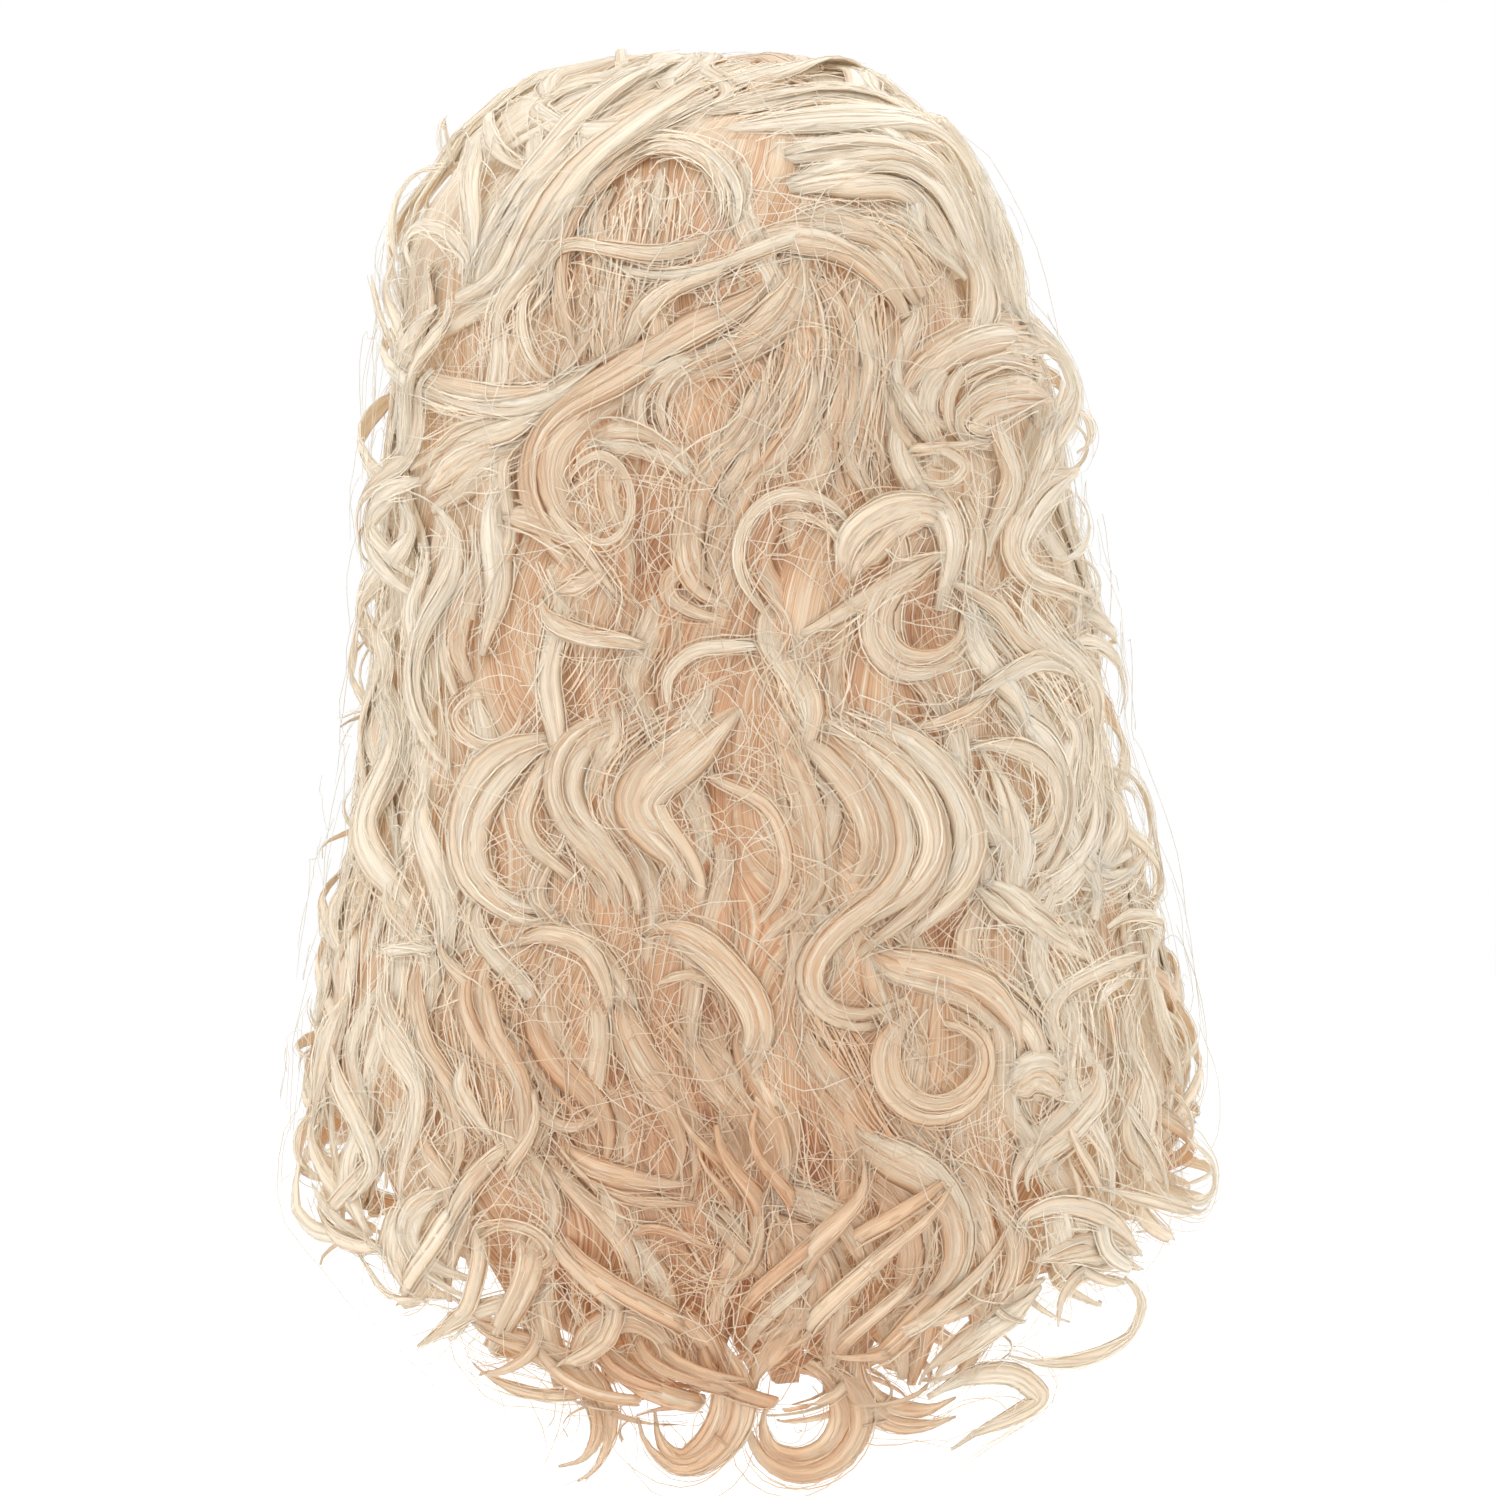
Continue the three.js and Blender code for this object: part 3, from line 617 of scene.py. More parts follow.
    (18, .78, -2, 7, "602,1402 580,1366 590,1332 630,1318 664,1340 668,1366 640,1386"),
    (10, .72, -2, 3, "605,1392 550,1396 502,1384 472,1362 462,1345"),
    (13, .70, -4, 4, "700,1108 736,1150 752,1196 757,1240 745,1270 715,1281 685,1264 664,1236"),
    (8, .80, -2, 5, "618,1240 650,1228 682,1236 722,1252"),
    (20, .88, -3, 9, "752,1188 800,1203 845,1222 868,1255 878,1306"),
    (24, .66, -4, 4, "762,1208 800,1245 822,1285 815,1320 785,1346 762,1352"),
    (18, .60, -4, 2, "768,1222 782,1268 786,1310 764,1346"),
    (28, .80, -3, 8, "838,1102 852,1132 888,1155 930,1178 955,1215 958,1260 935,1300 892,1322"),
    (28, .68, -4, 4, "850,1165 890,1190 916,1230 915,1272 895,1306 858,1332"),
    (24, .66, -4, 4, "935,1148 968,1188 985,1232 992,1275 985,1310"),
    (24, .72, -3, 5, "712,1330 730,1370 733,1412 712,1448 682,1463 655,1441 645,1405"),
    (26, .72, -3, 5, "795,1358 838,1384 853,1420 835,1458 797,1472 765,1456 754,1420 766,1385"),
    (20, .72, -3, 4, "858,1338 862,1386 886,1412 926,1418 966,1402"),
    (28, .72, -4, 4, "1000,1088 1035,1074 1072,1086"),
    (24, .74, -4, 5, "1096,1052 1099,1090 1070,1125 1036,1150 1020,1180 1028,1212"),
    (15, .78, -3, 6, "1022,1252 1020,1226 1056,1207 1096,1212 1130,1238 1142,1258"),
    (22, .74, -3, 4, "1035,1262 1085,1250 1138,1252"),
    (13, .78, -3, 5, "1132,1264 1086,1270 1062,1300 1058,1332"),
    (11, .76, -2, 3, "1122,1274 1142,1300 1131,1335 1090,1358 1040,1363 990,1350"),
    (22, .72, -3, 4, "1048,1278 1010,1310 965,1345 931,1375 925,1398"),
    (18, .75, -2, 5, "925,1400 965,1378 1015,1375 1040,1398 1015,1416 970,1436 935,1463"),
    (5, .80, -1, 2, "1185,1135 1213,1163 1213,1192 1196,1205 1176,1190"),
    (8, .78, -2, 2, "1090,1185 1150,1200 1200,1212 1222,1190"),
    (8, .75, -2, 3, "1110,1070 1130,1110 1160,1160 1170,1200"),
    (8, .75, -2, 3, "1090,1090 1100,1140 1105,1190"),
    (14, .75, -3, 3, "330,1040 338,1085 360,1130 372,1170 340,1215"),
    (12, .75, -3, 3, "310,1180 330,1215 365,1240 400,1260"),
    (6, .75, -2, 2, "345,1228 365,1265 390,1296 440,1302"),
    (16, .72, -3, 3, "350,990 330,1030 318,1075 312,1130"),
    # curls at the upper left
    (16, .78, -3, 6, "745,78 700,98 650,121 592,131 548,119 536,100 560,83 612,80 642,96"),
    (12, .75, -3, 4, "560,70 515,80 490,102 487,128 500,155 528,170 560,170"),
    (6, .75, -2, 3, "545,60 495,72 455,100 440,135 445,165"),
    (7, .75, -2, 3, "450,165 415,175 396,200 392,240 402,275"),
    (12, .72, -3, 4, "470,292 466,255 446,232 420,226 404,244 412,270"),
    (24, .60, -5, 2, "530,180 500,215 480,255 470,295"),
    (26, .58, -5, 2, "600,175 560,200 530,240 505,290"),
    (22, .65, -5, 2, "480,130 465,180 470,230 465,280"),
    (8, .88, -2, 7, "540,280 524,300 522,335 540,370 560,382"),
    (16, .72, -4, 3, "440,300 415,330 400,365 395,385"),
    (12, .72, -4, 3, "395,250 385,290 398,330 405,365"),
    (8, .70, -3, 2, "370,270 378,310 392,350 390,380"),
    (28, .62, -5, 1, "700,70 650,75 600,95 560,115 520,135 490,165"),
    (16, .68, -4, 2, "690,52 740,42 790,48 830,70"),
    (10, .72, -3, 2, "560,52 610,44 655,50 680,70"),
]


def chart_paths():
    """Each charted lock as an even path in the view, with its width, tone and lifts."""
    made = []
    for width, tone, ends, middle, places in CHART:
        xy = np.array([[float(c) for c in p.split(",")] for p in places.split()])
        made.append((spline(xy, 64), width, tone, ends, middle))
    return made


def laid(p, over):
    """Keeps a path at most so much above the top of the crown."""
    phi, r = np.arctan2(p[:, 0], p[:, 1]), np.hypot(p[:, 0], p[:, 1])
    t = np.linspace(0.02, 1, 60)
    z = 35.5 - 59.5 * t ** 2.2
    for i in np.nonzero(p[:, 2] > 12)[0]:
        far = np.minimum(reach(np.full(60, phi[i]), np.minimum(z, 36)) - 7, 200 * t)
        p[i, 2] = min(p[i, 2], np.interp(r[i], np.maximum.accumulate(far), z - 4 * (1 - t)) + over)
    p[:, 2] = settled(p[:, 2], 5)
    return p


def charted_locks():
    rng = np.random.default_rng(41)
    t = np.linspace(0, 1, 64)
    for xy, width, tone, ends, middle in chart_paths():
        free = xy[-1, 1] > 1190 or min(xy[-1, 0] - 300, 1230 - xy[-1, 0]) < 60
        ground = settled(bed(from_view(xy[:, 0], xy[:, 1], np.full(64, -9.0))), 9)
        top = 1.1 + 0.34 * middle
        rise = -2.0 + (top + 2.0) * smooth(np.minimum(t / 0.25, 1.0 if free else (1 - t) / 0.25))
        P = even(laid(viewed(xy[:, 0], xy[:, 1], ground + rise), 4.0), 60)
        M = outward(P)
        turn = np.radians(rng.uniform(-12, 12) + rng.uniform(-18, 18) * np.sin(2 * math.pi * (np.linspace(0, 1, 60) * rng.uniform(0.6, 1.2) + rng.random())))
        B = unit(np.cross(unit(np.gradient(P, axis=0)), M))
        M = M * np.cos(turn)[:, None] + B * np.sin(turn)[:, None]
        w = width / PX_PER_MM * (1.4 if width < 20 else 1.7)
        add_lock(P, M, w, 0.42 + 0.42 * tone, rng, strands=3, tip=0.12 if free else 0.4)
        # strands of the mass beside it that run the same way
        low = even(laid(viewed(xy[:, 0], xy[:, 1], ground + 0.8), 2.5), 60)
        B, A = frames(low, outward(low))
        add_strands(low, B, A, 4.0 + 0.8 * w, (-0.3, 0.8), 2.0, tone * 0.2 + 0.72, rng, int(np.clip(2 + w * 0.3, 3, 5)), node_for(P),
                    part=0.3, r=(0.16, 0.27), start=0.15)


# strands combed side by side between two paths of the back view: how many, tone, first and last path in view px
COMBED = [
    (30, .80, "596,196 588,250 584,310 590,372", "690,170 686,220 676,262 640,330"),
    (18, .84, "610,150 650,130 700,140 735,175 745,215 728,250", "640,165 672,155 700,168 712,195 708,225 690,245"),
    (28, .84, "770,48 715,62 665,92 620,128 580,165 548,210 522,260", "800,62 745,85 695,108 650,135 610,165 580,200 560,240"),
    (30, .84, "690,112 750,96 820,84 890,92 940,125 975,180 995,250", "760,135 830,128 890,132 935,160 965,210 985,280"),
    (24, .80, "790,225 840,212 885,215 925,240 950,280", "800,262 850,250 895,262 925,292 940,330"),
    (34, .80, "800,240 812,300 820,360 815,420 800,470 806,500", "880,250 890,310 893,370 885,430 880,480 890,515"),
    (30, .82, "775,325 762,375 730,420 700,455 690,500", "812,300 815,360 800,410 770,455 735,490"),
    (22, .82, "560,190 530,230 500,270 455,300", "600,205 575,250 550,300 520,335 470,365"),
    (20, .82, "600,360 560,395 505,410 445,398 400,380", "575,420 525,440 475,455 430,480"),
    (24, .80, "1045,330 1000,318 950,332 912,365 897,405 905,440", "1048,380 1005,368 970,380 955,405 965,430"),
    (30, .84, "790,700 860,745 905,795 915,850 895,890 855,920 825,950", "860,705 925,745 968,795 985,845 975,885 945,915 905,940"),
    (24, .82, "650,700 600,728 562,770 565,815 600,860 625,905", "745,700 700,735 660,775 650,815 680,860 690,910"),
    (22, .80, "760,946 800,1000 830,1060 845,1110 890,1150 930,1180", "850,1021 880,1060 900,1110 940,1150 985,1230"),
    (28, .80, "440,960 430,1010 445,1060 470,1110 480,1160", "600,960 590,1020 560,1080 540,1130 520,1180"),
    (26, .80, "620,960 650,1010 690,1060 720,1110 745,1170 750,1230", "740,1060 760,1110 790,1160 830,1200 860,1260"),
    (24, .82, "960,600 1000,640 1045,700 1070,760 1060,830", "1030,560 1070,620 1100,680 1110,750 1100,830"),
    (26, .94, "985,700 1020,760 1030,820 1010,890", "1090,700 1110,760 1112,830 1095,900"),
    (24, .80, "985,880 1020,930 1050,990 1060,1050 1040,1110", "1080,900 1110,950 1135,1010 1140,1080 1120,1150"),
    (24, .82, "370,540 360,600 372,660 365,720 345,790", "460,560 450,620 445,690 450,760 430,830"),
    (24, .80, "350,850 335,920 340,990 325,1060", "440,850 425,930 415,1000 400,1080 395,1150"),
    (24, .80, "560,590 550,640 530,690 500,740", "690,620 680,660 650,700 620,725"),
    (24, .80, "745,600 740,640 760,690 790,740 810,800", "840,640 850,680 840,720 860,760 880,800"),
]


def combed_strands():
    rng = np.random.default_rng(73)
    for count, tone, first, last in COMBED:
        a, b = (spline(np.array([[float(c) for c in q.split(",")] for q in e.split()]), 40) for e in (first, last))
        for k in range(count):
            f = (k + 0.5 + rng.uniform(-0.7, 0.7)) / count
            t0, t1 = rng.uniform(0, 0.16), 1 - rng.uniform(0, 0.18)
            t = np.linspace(t0, t1, 40)
            xy = a + (b - a) * f
            xy = np.stack([np.interp(t, np.linspace(0, 1, 40), xy[:, j]) for j in (0, 1)], -1)
            way = np.gradient(xy, axis=0)
            side = unit(np.stack([-way[:, 1], way[:, 0]], -1))
            s = np.linspace(0, 1, 40)
            xy = xy + side * (rng.uniform(1, 5) * np.sin(2 * math.pi * (rng.uniform(0.5, 1.4) * s + rng.random())))[:, None]
            ground = settled(bed(from_view(xy[:, 0], xy[:, 1], np.full(40, -9.0))), 9)
            P = viewed(xy[:, 0], xy[:, 1], ground + rng.uniform(0.4, 2.6) - 1.5 * (1 - smooth(np.minimum(s, 1 - s) / 0.2)))
            P = laid(P, 4.0)
            grid = pace(P, 0.45, 24.0, 22)[None]
            c = sampled(P, grid)
            rad = rng.uniform(0.2, 0.33) * (1 - 0.6 * smooth((grid - 0.7) / 0.3))
            add_tubes(node_for(P), c, rad, outward(c), np.array([tone + rng.normal(0, 0.09)]))


# lowest hair of the back view, in view px
LOWER_EDGE = np.array([(300, 1200), (330, 1235), (370, 1285), (410, 1330), (460, 1355), (505, 1400), (560, 1440), (700, 1440),
                       (830, 1440), (930, 1430), (1026, 1395), (1079, 1345), (1140, 1285), (1160, 1235), (1200, 1200)], float)


def fill_locks():
    """Broad wavy locks under the charted ones. They run the way the charted locks near them run."""
    rng = np.random.default_rng(57)
    pos, way, weight = [], [], []
    for xy, width, tone, ends, middle in chart_paths():
        d = unit(np.gradient(xy, axis=0))
        pos.append(xy[::4]); way.append(d[::4]); weight.append(np.full(len(xy[::4]), 6.0 + width))
    pos, way, weight = np.concatenate(pos), np.concatenate(way), np.concatenate(weight)

    def flow(p):
        k = weight * np.exp(-((pos - p) ** 2).sum(1) / (2 * 60.0 ** 2))
        d = (way * k[:, None]).sum(0) / (k.sum() + 1e-9)
        return unit(d + np.array([0.0, 0.55]))

    rows = np.arange(70, 1330, 100)
    made = 0
    for r, y in enumerate(rows):
        z = (137 - y) / PX_PER_MM
        left, right, back, front = half_axes(float(z))
        x0, x1 = 735 - left * PX_PER_MM * 0.93, 735 + right * PX_PER_MM * 0.93
        count = max(4, int((x1 - x0) / 92))
        for c in range(count):
            x = x0 + (x1 - x0) * (c + 0.5 + 0.5 * (r % 2) - 0.25 + rng.uniform(-0.3, 0.3)) / count
            steps = int(rng.uniform(20, 34))
            p = np.array([x, y + rng.uniform(-25, 25)])
            path = [p]
            d = flow(p)
            for _ in range(steps):
                d = unit(0.72 * d + 0.28 * flow(p))
                p = p + d * 9.0
                if p[1] > np.interp(p[0], LOWER_EDGE[:, 0], LOWER_EDGE[:, 1]) - 30:
                    break
                path.append(p)
            if len(path) < 10 or (r == 0 and abs(x - 735) < 75):
                continue  # too short, or at the whorl
            xy = spline(np.array(path)[::3], 48)
            t = np.linspace(0, 1, 48)
            side = np.stack([-np.gradient(xy, axis=0)[:, 1], np.gradient(xy, axis=0)[:, 0]], -1)
            side = unit(side)
            amp = rng.uniform(7, 20)
            xy = xy + side * (amp * smooth(t / 0.2) * np.sin(2 * math.pi * (t * len(path) * 9.0 / rng.uniform(150, 230) + rng.random())))[:, None]
            ground = settled(bed(from_view(xy[:, 0], xy[:, 1], np.full(48, -9.0))), 9)
            high = rng.uniform(-0.4, 1.4)
            rise = -2.5 + (high + 2.5) * smooth(np.minimum(t / 0.25, (1 - t) / 0.25))
            P = even(viewed(xy[:, 0], xy[:, 1], ground + rise), 40)
            # painted light: the further the lock stands off the mass, the paler its tone
            tone = 0.66 + 0.05 * high + rng.normal(0, 0.05)
            add_lock(P, outward(P), rng.uniform(9, 16), tone, rng, parts=1, strands=0, tip=0.35, lines=0.3)
            low = even(viewed(xy[:, 0], xy[:, 1], ground + 0.6), 40)
            B, A = frames(low, outward(low))
            add_strands(low, B, A, rng.uniform(4, 9), (-0.2, 0.8), 2.0, tone + 0.18, rng, 4, node_for(P), part=0.4, r=(0.16, 0.28), start=0.12)
            made += 1
    print("fill locks", made)


# ------------------------------------------------------------------ curls worked out by rule
def ringlet(phi0, z0, length, turns, radius, hand, drift, lift, rng, tuck=9.0, hook=0.6, start=None):
    """Path of one curl down the hair's form, and the way its flat side faces."""
    n = 90
    t = np.linspace(0, 1, n)
    fall = t - hook * 0.32 * smooth((t - 0.72) / 0.28) * (t - 0.72).clip(0) / 0.28 * 0.28
    z = z0 - length * fall
    phi = phi0 + drift * t
    base = at(phi, np.clip(z, -540, 36.5), 0)
    base[:, 2] = z
    N = outward(base)
    S = np.stack([np.cos(phi), -np.sin(phi), 0 * phi], -1)
    ang = start if start is not None else rng.uniform(0, 2 * math.pi)
    theta = ang + hand * 2 * math.pi * (turns * t + hook * 0.55 * smooth((t - 0.7) / 0.3))
    rho = radius * smooth(t / 0.3) * (1 - 0.42 * smooth((t - 0.7) / 0.3))
    up = lift - tuck * (1 - smooth(t / 0.22))
    P = (base + S * (rho * np.cos(theta))[:, None]
         + N * (0.62 * rho * (np.sin(theta) - 1) + up)[:, None])
    M = unit(N * 0.7 + S * (0.75 * np.cos(theta))[:, None] + N * (0.75 * np.sin(theta))[:, None])
    return even_with(P, M, 64)


def layer(rng, count, phi_range, z_range, lift, tone, width, length, radius, pitch=(58, 98), strands=3, parts=None, hook=(0.3, 0.9), bend=0.75):
    golden = 0.61803398875
    for i in range(count):
        f = (i * golden + rng.uniform(-0.02, 0.02)) % 1
        phi = math.radians(phi_range[0] + (phi_range[1] - phi_range[0]) * f)
        z = z_range[0] + (z_range[1] - z_range[0]) * (i + rng.random()) / count
        deg = math.degrees(phi)
        k = LOCKS[int(np.clip((deg + FACE_EDGE) / (2 * FACE_EDGE / len(LOCKS)), 0, len(LOCKS) - 1))]
        low = TIP_Z[k] + rng.uniform(0, 14)
        L = min(rng.uniform(*length), z - low)
        if L < 75:
            z, L = low + 90, 90
        # neighbours turn the same way, so that they lie side by side
        hand = 1 if math.sin(phi * 5 + 0.6) > 0 else -1
        P, M = ringlet(phi, z, L, L / rng.uniform(*pitch), rng.uniform(*radius), hand,
                       math.radians(rng.uniform(-7, 7)), rng.uniform(*lift), rng, hook=rng.uniform(*hook),
                       start=2.4 * math.sin(phi * 4) + rng.uniform(-0.7, 0.7))
        add_lock(P, M, rng.uniform(*width), tone + rng.normal(0, 0.06), rng, strands=strands, parts=parts, bend=bend, lines=0.2)


def under_layers():
    rng = np.random.default_rng(7)
    for side in (1, -1):
        span = (66, FACE_EDGE) if side > 0 else (-FACE_EDGE, -66)
        layer(rng, 14, span, (-20, -340), (-5, 4), 0.74, (6, 10), (90, 140), (16, 28), pitch=(70, 110), strands=1, parts=1)
        low = (74, FACE_EDGE) if side > 0 else (-FACE_EDGE, -74)
        layer(rng, 15, low, (-285, -300), (-10, 2), 0.68, (6, 10), (150, 180), (12, 20), strands=1, parts=1, hook=(0.9, 1.3), bend=0.56)
    # curled ends along the lower edge
    layer(rng, 50, (-80, 80), (-372, -400), (-8, 2), 0.68, (5, 10), (140, 175), (14, 25), pitch=(90, 135), strands=1, parts=1, hook=(0.9, 1.3), bend=0.42)


def side_waves():
    """Broad waves that lie on the mass at the sides."""
    rng = np.random.default_rng(83)
    n = 60
    t = np.linspace(0, 1, n)
    for side in (1, -1):
        for i in range(62):
            deg = side * (54 + 91 * ((i * 0.61803398875 + rng.uniform(-0.03, 0.03)) % 1))
            z0 = -8 - 330 * (i + rng.random()) / 62
            node = LOCKS[int(np.clip((deg + FACE_EDGE) / (2 * FACE_EDGE / len(LOCKS)), 0, len(LOCKS) - 1))]
            L = min(rng.uniform(110, 190), z0 - TIP_Z[node] - 30)
            if L < 60:
                continue
            high = rng.uniform(0.4, 3.4)
            size, each = rng.uniform(7, 15), rng.uniform(75, 120)
            s = L * t
            r = float(reach(math.radians(deg), z0))
            sway = size * (0.35 + 0.65 * smooth(t / 0.3)) * np.sin(2 * math.pi * (s / each + rng.random())) + rng.uniform(-16, 16) * t
            lim = math.radians(FACE_EDGE - 2)
            phi = np.clip(math.radians(deg) + sway / r, -lim, lim)
            z = z0 - s * 0.93
            ground = settled(bed(at(phi, z, -10.0)), 9)
            rise = -2.5 + (high + 2.5) * smooth(np.minimum(t / 0.2, (1 - t) / 0.25))
            P = at(phi, z, ground + rise)
            P, M = even_with(P, outward(P), n)
            # painted light: the further the wave stands off the mass, the paler its tone
            add_lock(P, M, rng.uniform(9, 16), 0.64 + 0.05 * high + rng.normal(0, 0.05), rng, parts=1, strands=1, tip=0.3, lines=0.18, lean=0.4)


def face_edge_locks():
    """Locks that hang along the edges of the face opening."""
    rng = np.random.default_rng(97)
    n = 56
    t = np.linspace(0, 1, n)
    for side in (1, -1):
        for i in range(18):
            f = (i * 0.61803398875 + 0.2) % 1
            z0 = -28 - 240 * (i + rng.random()) / 18
            L = min(rng.uniform(120, 190), z0 + 385)
            s = L * t
            z = z0 - s * 0.95
            phi = np.radians(side * (face_edge(z, side) + rng.uniform(-0.3, 1.2) - 2.0 * (1 - smooth(np.minimum(t, 1 - t) / 0.15))))
            inner, outer = inner_reach(phi, z) + 3, reach(phi, z) - 11
            r = inner + (outer - inner) * (0.1 + 0.85 * f) + rng.uniform(3, 6) * np.sin(2 * math.pi * (s / rng.uniform(70, 105) + rng.random()))
            P = np.stack([r * np.sin(phi), r * np.cos(phi), z], -1)
            M = side * np.stack([np.cos(phi), -np.sin(phi), 0 * phi], -1)
            P, M = even_with(P, M, n)
            add_lock(P, M, rng.uniform(8, 13), 0.68 + rng.normal(0, 0.06), rng, node=LEFT[-1] if side > 0 else RIGHT[0], parts=1, strands=1, tip=0.25, lines=0.15)


def inner_waves():
    """Waves on the inside of the hanging hair, seen below the face opening."""
    rng = np.random.default_rng(89)
    n = 48
    t = np.linspace(0, 1, n)
    for i in range(28):
        deg = -112 + 224 * ((i * 0.61803398875 + rng.uniform(-0.03, 0.03)) % 1)
        node = LOCKS[int(np.clip((deg + FACE_EDGE) / (2 * FACE_EDGE / len(LOCKS)), 0, len(LOCKS) - 1))]
        z0 = -140 - (TIP_Z[node] + 140) * -0.72 * (i + rng.random()) / 28
        L = min(rng.uniform(120, 200), z0 - TIP_Z[node] - 35)
        if L < 50:
            continue
        s = L * t
        sway = rng.uniform(6, 12) * np.sin(2 * math.pi * (s / rng.uniform(75, 115) + rng.random())) + rng.uniform(-10, 10) * t
        phi = math.radians(deg) + sway / 120
        z = z0 - s * 0.95
        r = inner_reach(phi, z) + 2.2 - 1.6 * smooth(np.minimum(t, 1 - t) / 0.2)
        P = np.stack([r * np.sin(phi), r * np.cos(phi), z], -1)
        M = -np.stack([np.sin(phi), np.cos(phi), 0 * phi], -1)
        P, M = even_with(P, M, n)
        add_lock(P, M, rng.uniform(14, 24), 0.76 + rng.normal(0, 0.06), rng, node=node, parts=1, strands=2, tip=0.3, lines=0.12, flat=0.06)


def edge_loops():
    """Open loops that stand off the outline at the sides and the top."""
    rng = np.random.default_rng(67)
    t = np.linspace(0, 1, 48)
    def loop(deg, z, r, start, turn, w):
        phi = math.radians(deg)
        base = at(np.array([phi]), np.array([z]), 0.0)[0]
        N = outward(base[None])[0]
        up = np.array([0, 0, 1.0]) - N * N[2]
        up = up / np.linalg.norm(up)
        S = np.cross(N, up)
        a = start + turn * t
        rr = r * (1 - 0.4 * t)
        out = rng.uniform(0.0, 6.5) - r
        P = (base + N * (out + rr * np.cos(a))[:, None] + up * (rr * np.sin(a))[:, None] + S * (rng.uniform(-16, 16) * (t - 0.5))[:, None])
        P, M = even_with(P, unit(N * np.cos(a)[:, None] + up * np.sin(a)[:, None] + 0.001), 48)
        add_lock(P, M, w, 0.74 + rng.normal(0, 0.05), rng, parts=1, strands=3, tip=0.15, root=0.5, lines=0.3)
    for side in (1, -1):
        for z in np.arange(8, -400, -27):
            loop(side * rng.uniform(66, 118), z + rng.uniform(-9, 9), rng.uniform(9, 22), rng.choice([-1, 1]) * rng.uniform(1.8, 2.6),
                 rng.choice([-1, 1]) * rng.uniform(3.4, 5.6), rng.uniform(2.5, 6))
    for deg, z in ((120, 30), (75, 26), (40, 34), (20, 36), (-30, 36), (-70, 30), (-110, 30), (95, 18), (60, 12), (-60, 16)):
        loop(deg, z, rng.uniform(8, 15), rng.choice([-1, 1]) * 2.2, rng.choice([-1, 1]) * rng.uniform(3.2, 5.0), rng.uniform(2.5, 5))


def crown_locks():
    """Locks that turn out of the crown and fall over the front, the sides and the top of the back."""
    rng = np.random.default_rng(19)
    n = 64
    t = np.linspace(0, 1, n)
    # painted shade: the lower-lying first ring takes a deeper tone than the second
    for ring, (count, z_end, tone, lift, w) in enumerate(((30, -70, 0.68, -4.5, 14), (34, -112, 0.76, -1.5, 11))):
        for i in range(count):
            deg = -180 + 360 * (i + 0.5 * ring + rng.uniform(-0.3, 0.3)) / count
            back = abs(deg) < 74
            if back and ring == 1:
                continue  # the chart covers the back
            end = z_end + rng.uniform(-26, 26)
            if abs(deg) > 140:
                end = -22 + rng.uniform(-12, 6)
            if back:
                end = rng.uniform(-8, 14)
            phi = np.radians(deg + (22 + rng.uniform(-8, 8)) * (1 - t) ** 1.5 * (1 if deg > 0 else -1))
            z = 37 - (37 - end) * t ** 1.7
            high = (-5.0 if back else lift) + rng.uniform(-1, 1.5)
            P = at(phi, np.clip(z, -500, 36.8), high)
            sunk = bed(P) - 2.5 - high
            P = at(phi, np.clip(z, -500, 36.8), high + np.minimum(sunk, 0) * smooth((t - 0.6) / 0.4))
            P[:, 2] = z
            k = smooth(t / 0.25)[:, None]
            P = P * k + np.array([8.0, 2.0, 35.0]) * (1 - k)
            S = np.stack([np.cos(phi), -np.sin(phi), 0 * phi], -1)
            wave = rng.uniform(5, 9) * smooth((t - 0.2) / 0.5) * np.sin(2 * math.pi * (rng.uniform(1.1, 1.9) * t + rng.random()))
            P = even(P + S * wave[:, None], n)
            add_lock(P, outward(P), w + rng.uniform(-3, 3), tone + rng.normal(0, 0.05), rng, tip=0.3, root=0.35, strands=2, parts=1,
                     node="crown_hair", lines=0.35)


def fringe_locks():
    rng = np.random.default_rng(23)
    n = 64
    t = np.linspace(0, 1, n)
    # painted shade: the rings that lie lower take deeper tones than the rings over them
    for ring, (count, tone, lift, wide) in enumerate(((17, 0.66, -7.0, (9, 14)), (18, 0.74, -3.6, (8, 12)), (14, 0.82, -1.2, (5, 9)))):
        for i in range(count):
            f = (i + 0.5 + rng.uniform(-0.25, 0.25)) / count
            deg = FACE_EDGE - 4 + (360 - 2 * FACE_EDGE + 8) * f
            sweep = rng.uniform(4, 12) * (1 if deg > 180 else -1)
            end = -96 - 16 * abs(f - 0.5) * 2 + rng.uniform(-8, 8)
            phi = np.radians(deg + sweep * (t - 0.5) + 0)
            z = 18 - (18 - end) * (t - 0.12 * smooth((t - 0.75) / 0.25))
            base = at(phi, np.clip(z, -130, 36), 0)
            base[:, 2] = z
            N = outward(base)
            S = np.stack([np.cos(phi), -np.sin(phi), 0 * phi], -1)
            th = rng.uniform(0, 6.28) + rng.choice([-1, 1]) * 2 * math.pi * (0.8 * t + 0.55 * smooth((t - 0.62) / 0.38))
            rho = 6.5 * smooth((t - 0.15) / 0.5) * (1 - 0.3 * smooth((t - 0.8) / 0.2))
            P = base + S * (rho * np.cos(th))[:, None] + N * (0.4 * rho * (np.sin(th) - 0.8) + lift - 5 * (1 - smooth(t / 0.2)))[:, None]
            M = unit(N + S * (0.45 * np.cos(th))[:, None] + N * (0.3 * np.sin(th))[:, None])
            P, M = even_with(P, M, n)
            k = int(np.clip((deg - FACE_EDGE) / ((360 - 2 * FACE_EDGE) / len(FRINGE)), 0, len(FRINGE) - 1))
            add_lock(P, M, rng.uniform(*wide), tone + rng.normal(0, 0.06), rng, strands=2, parts=1, node=FRINGE[k], bend=0.5, lines=0.34)


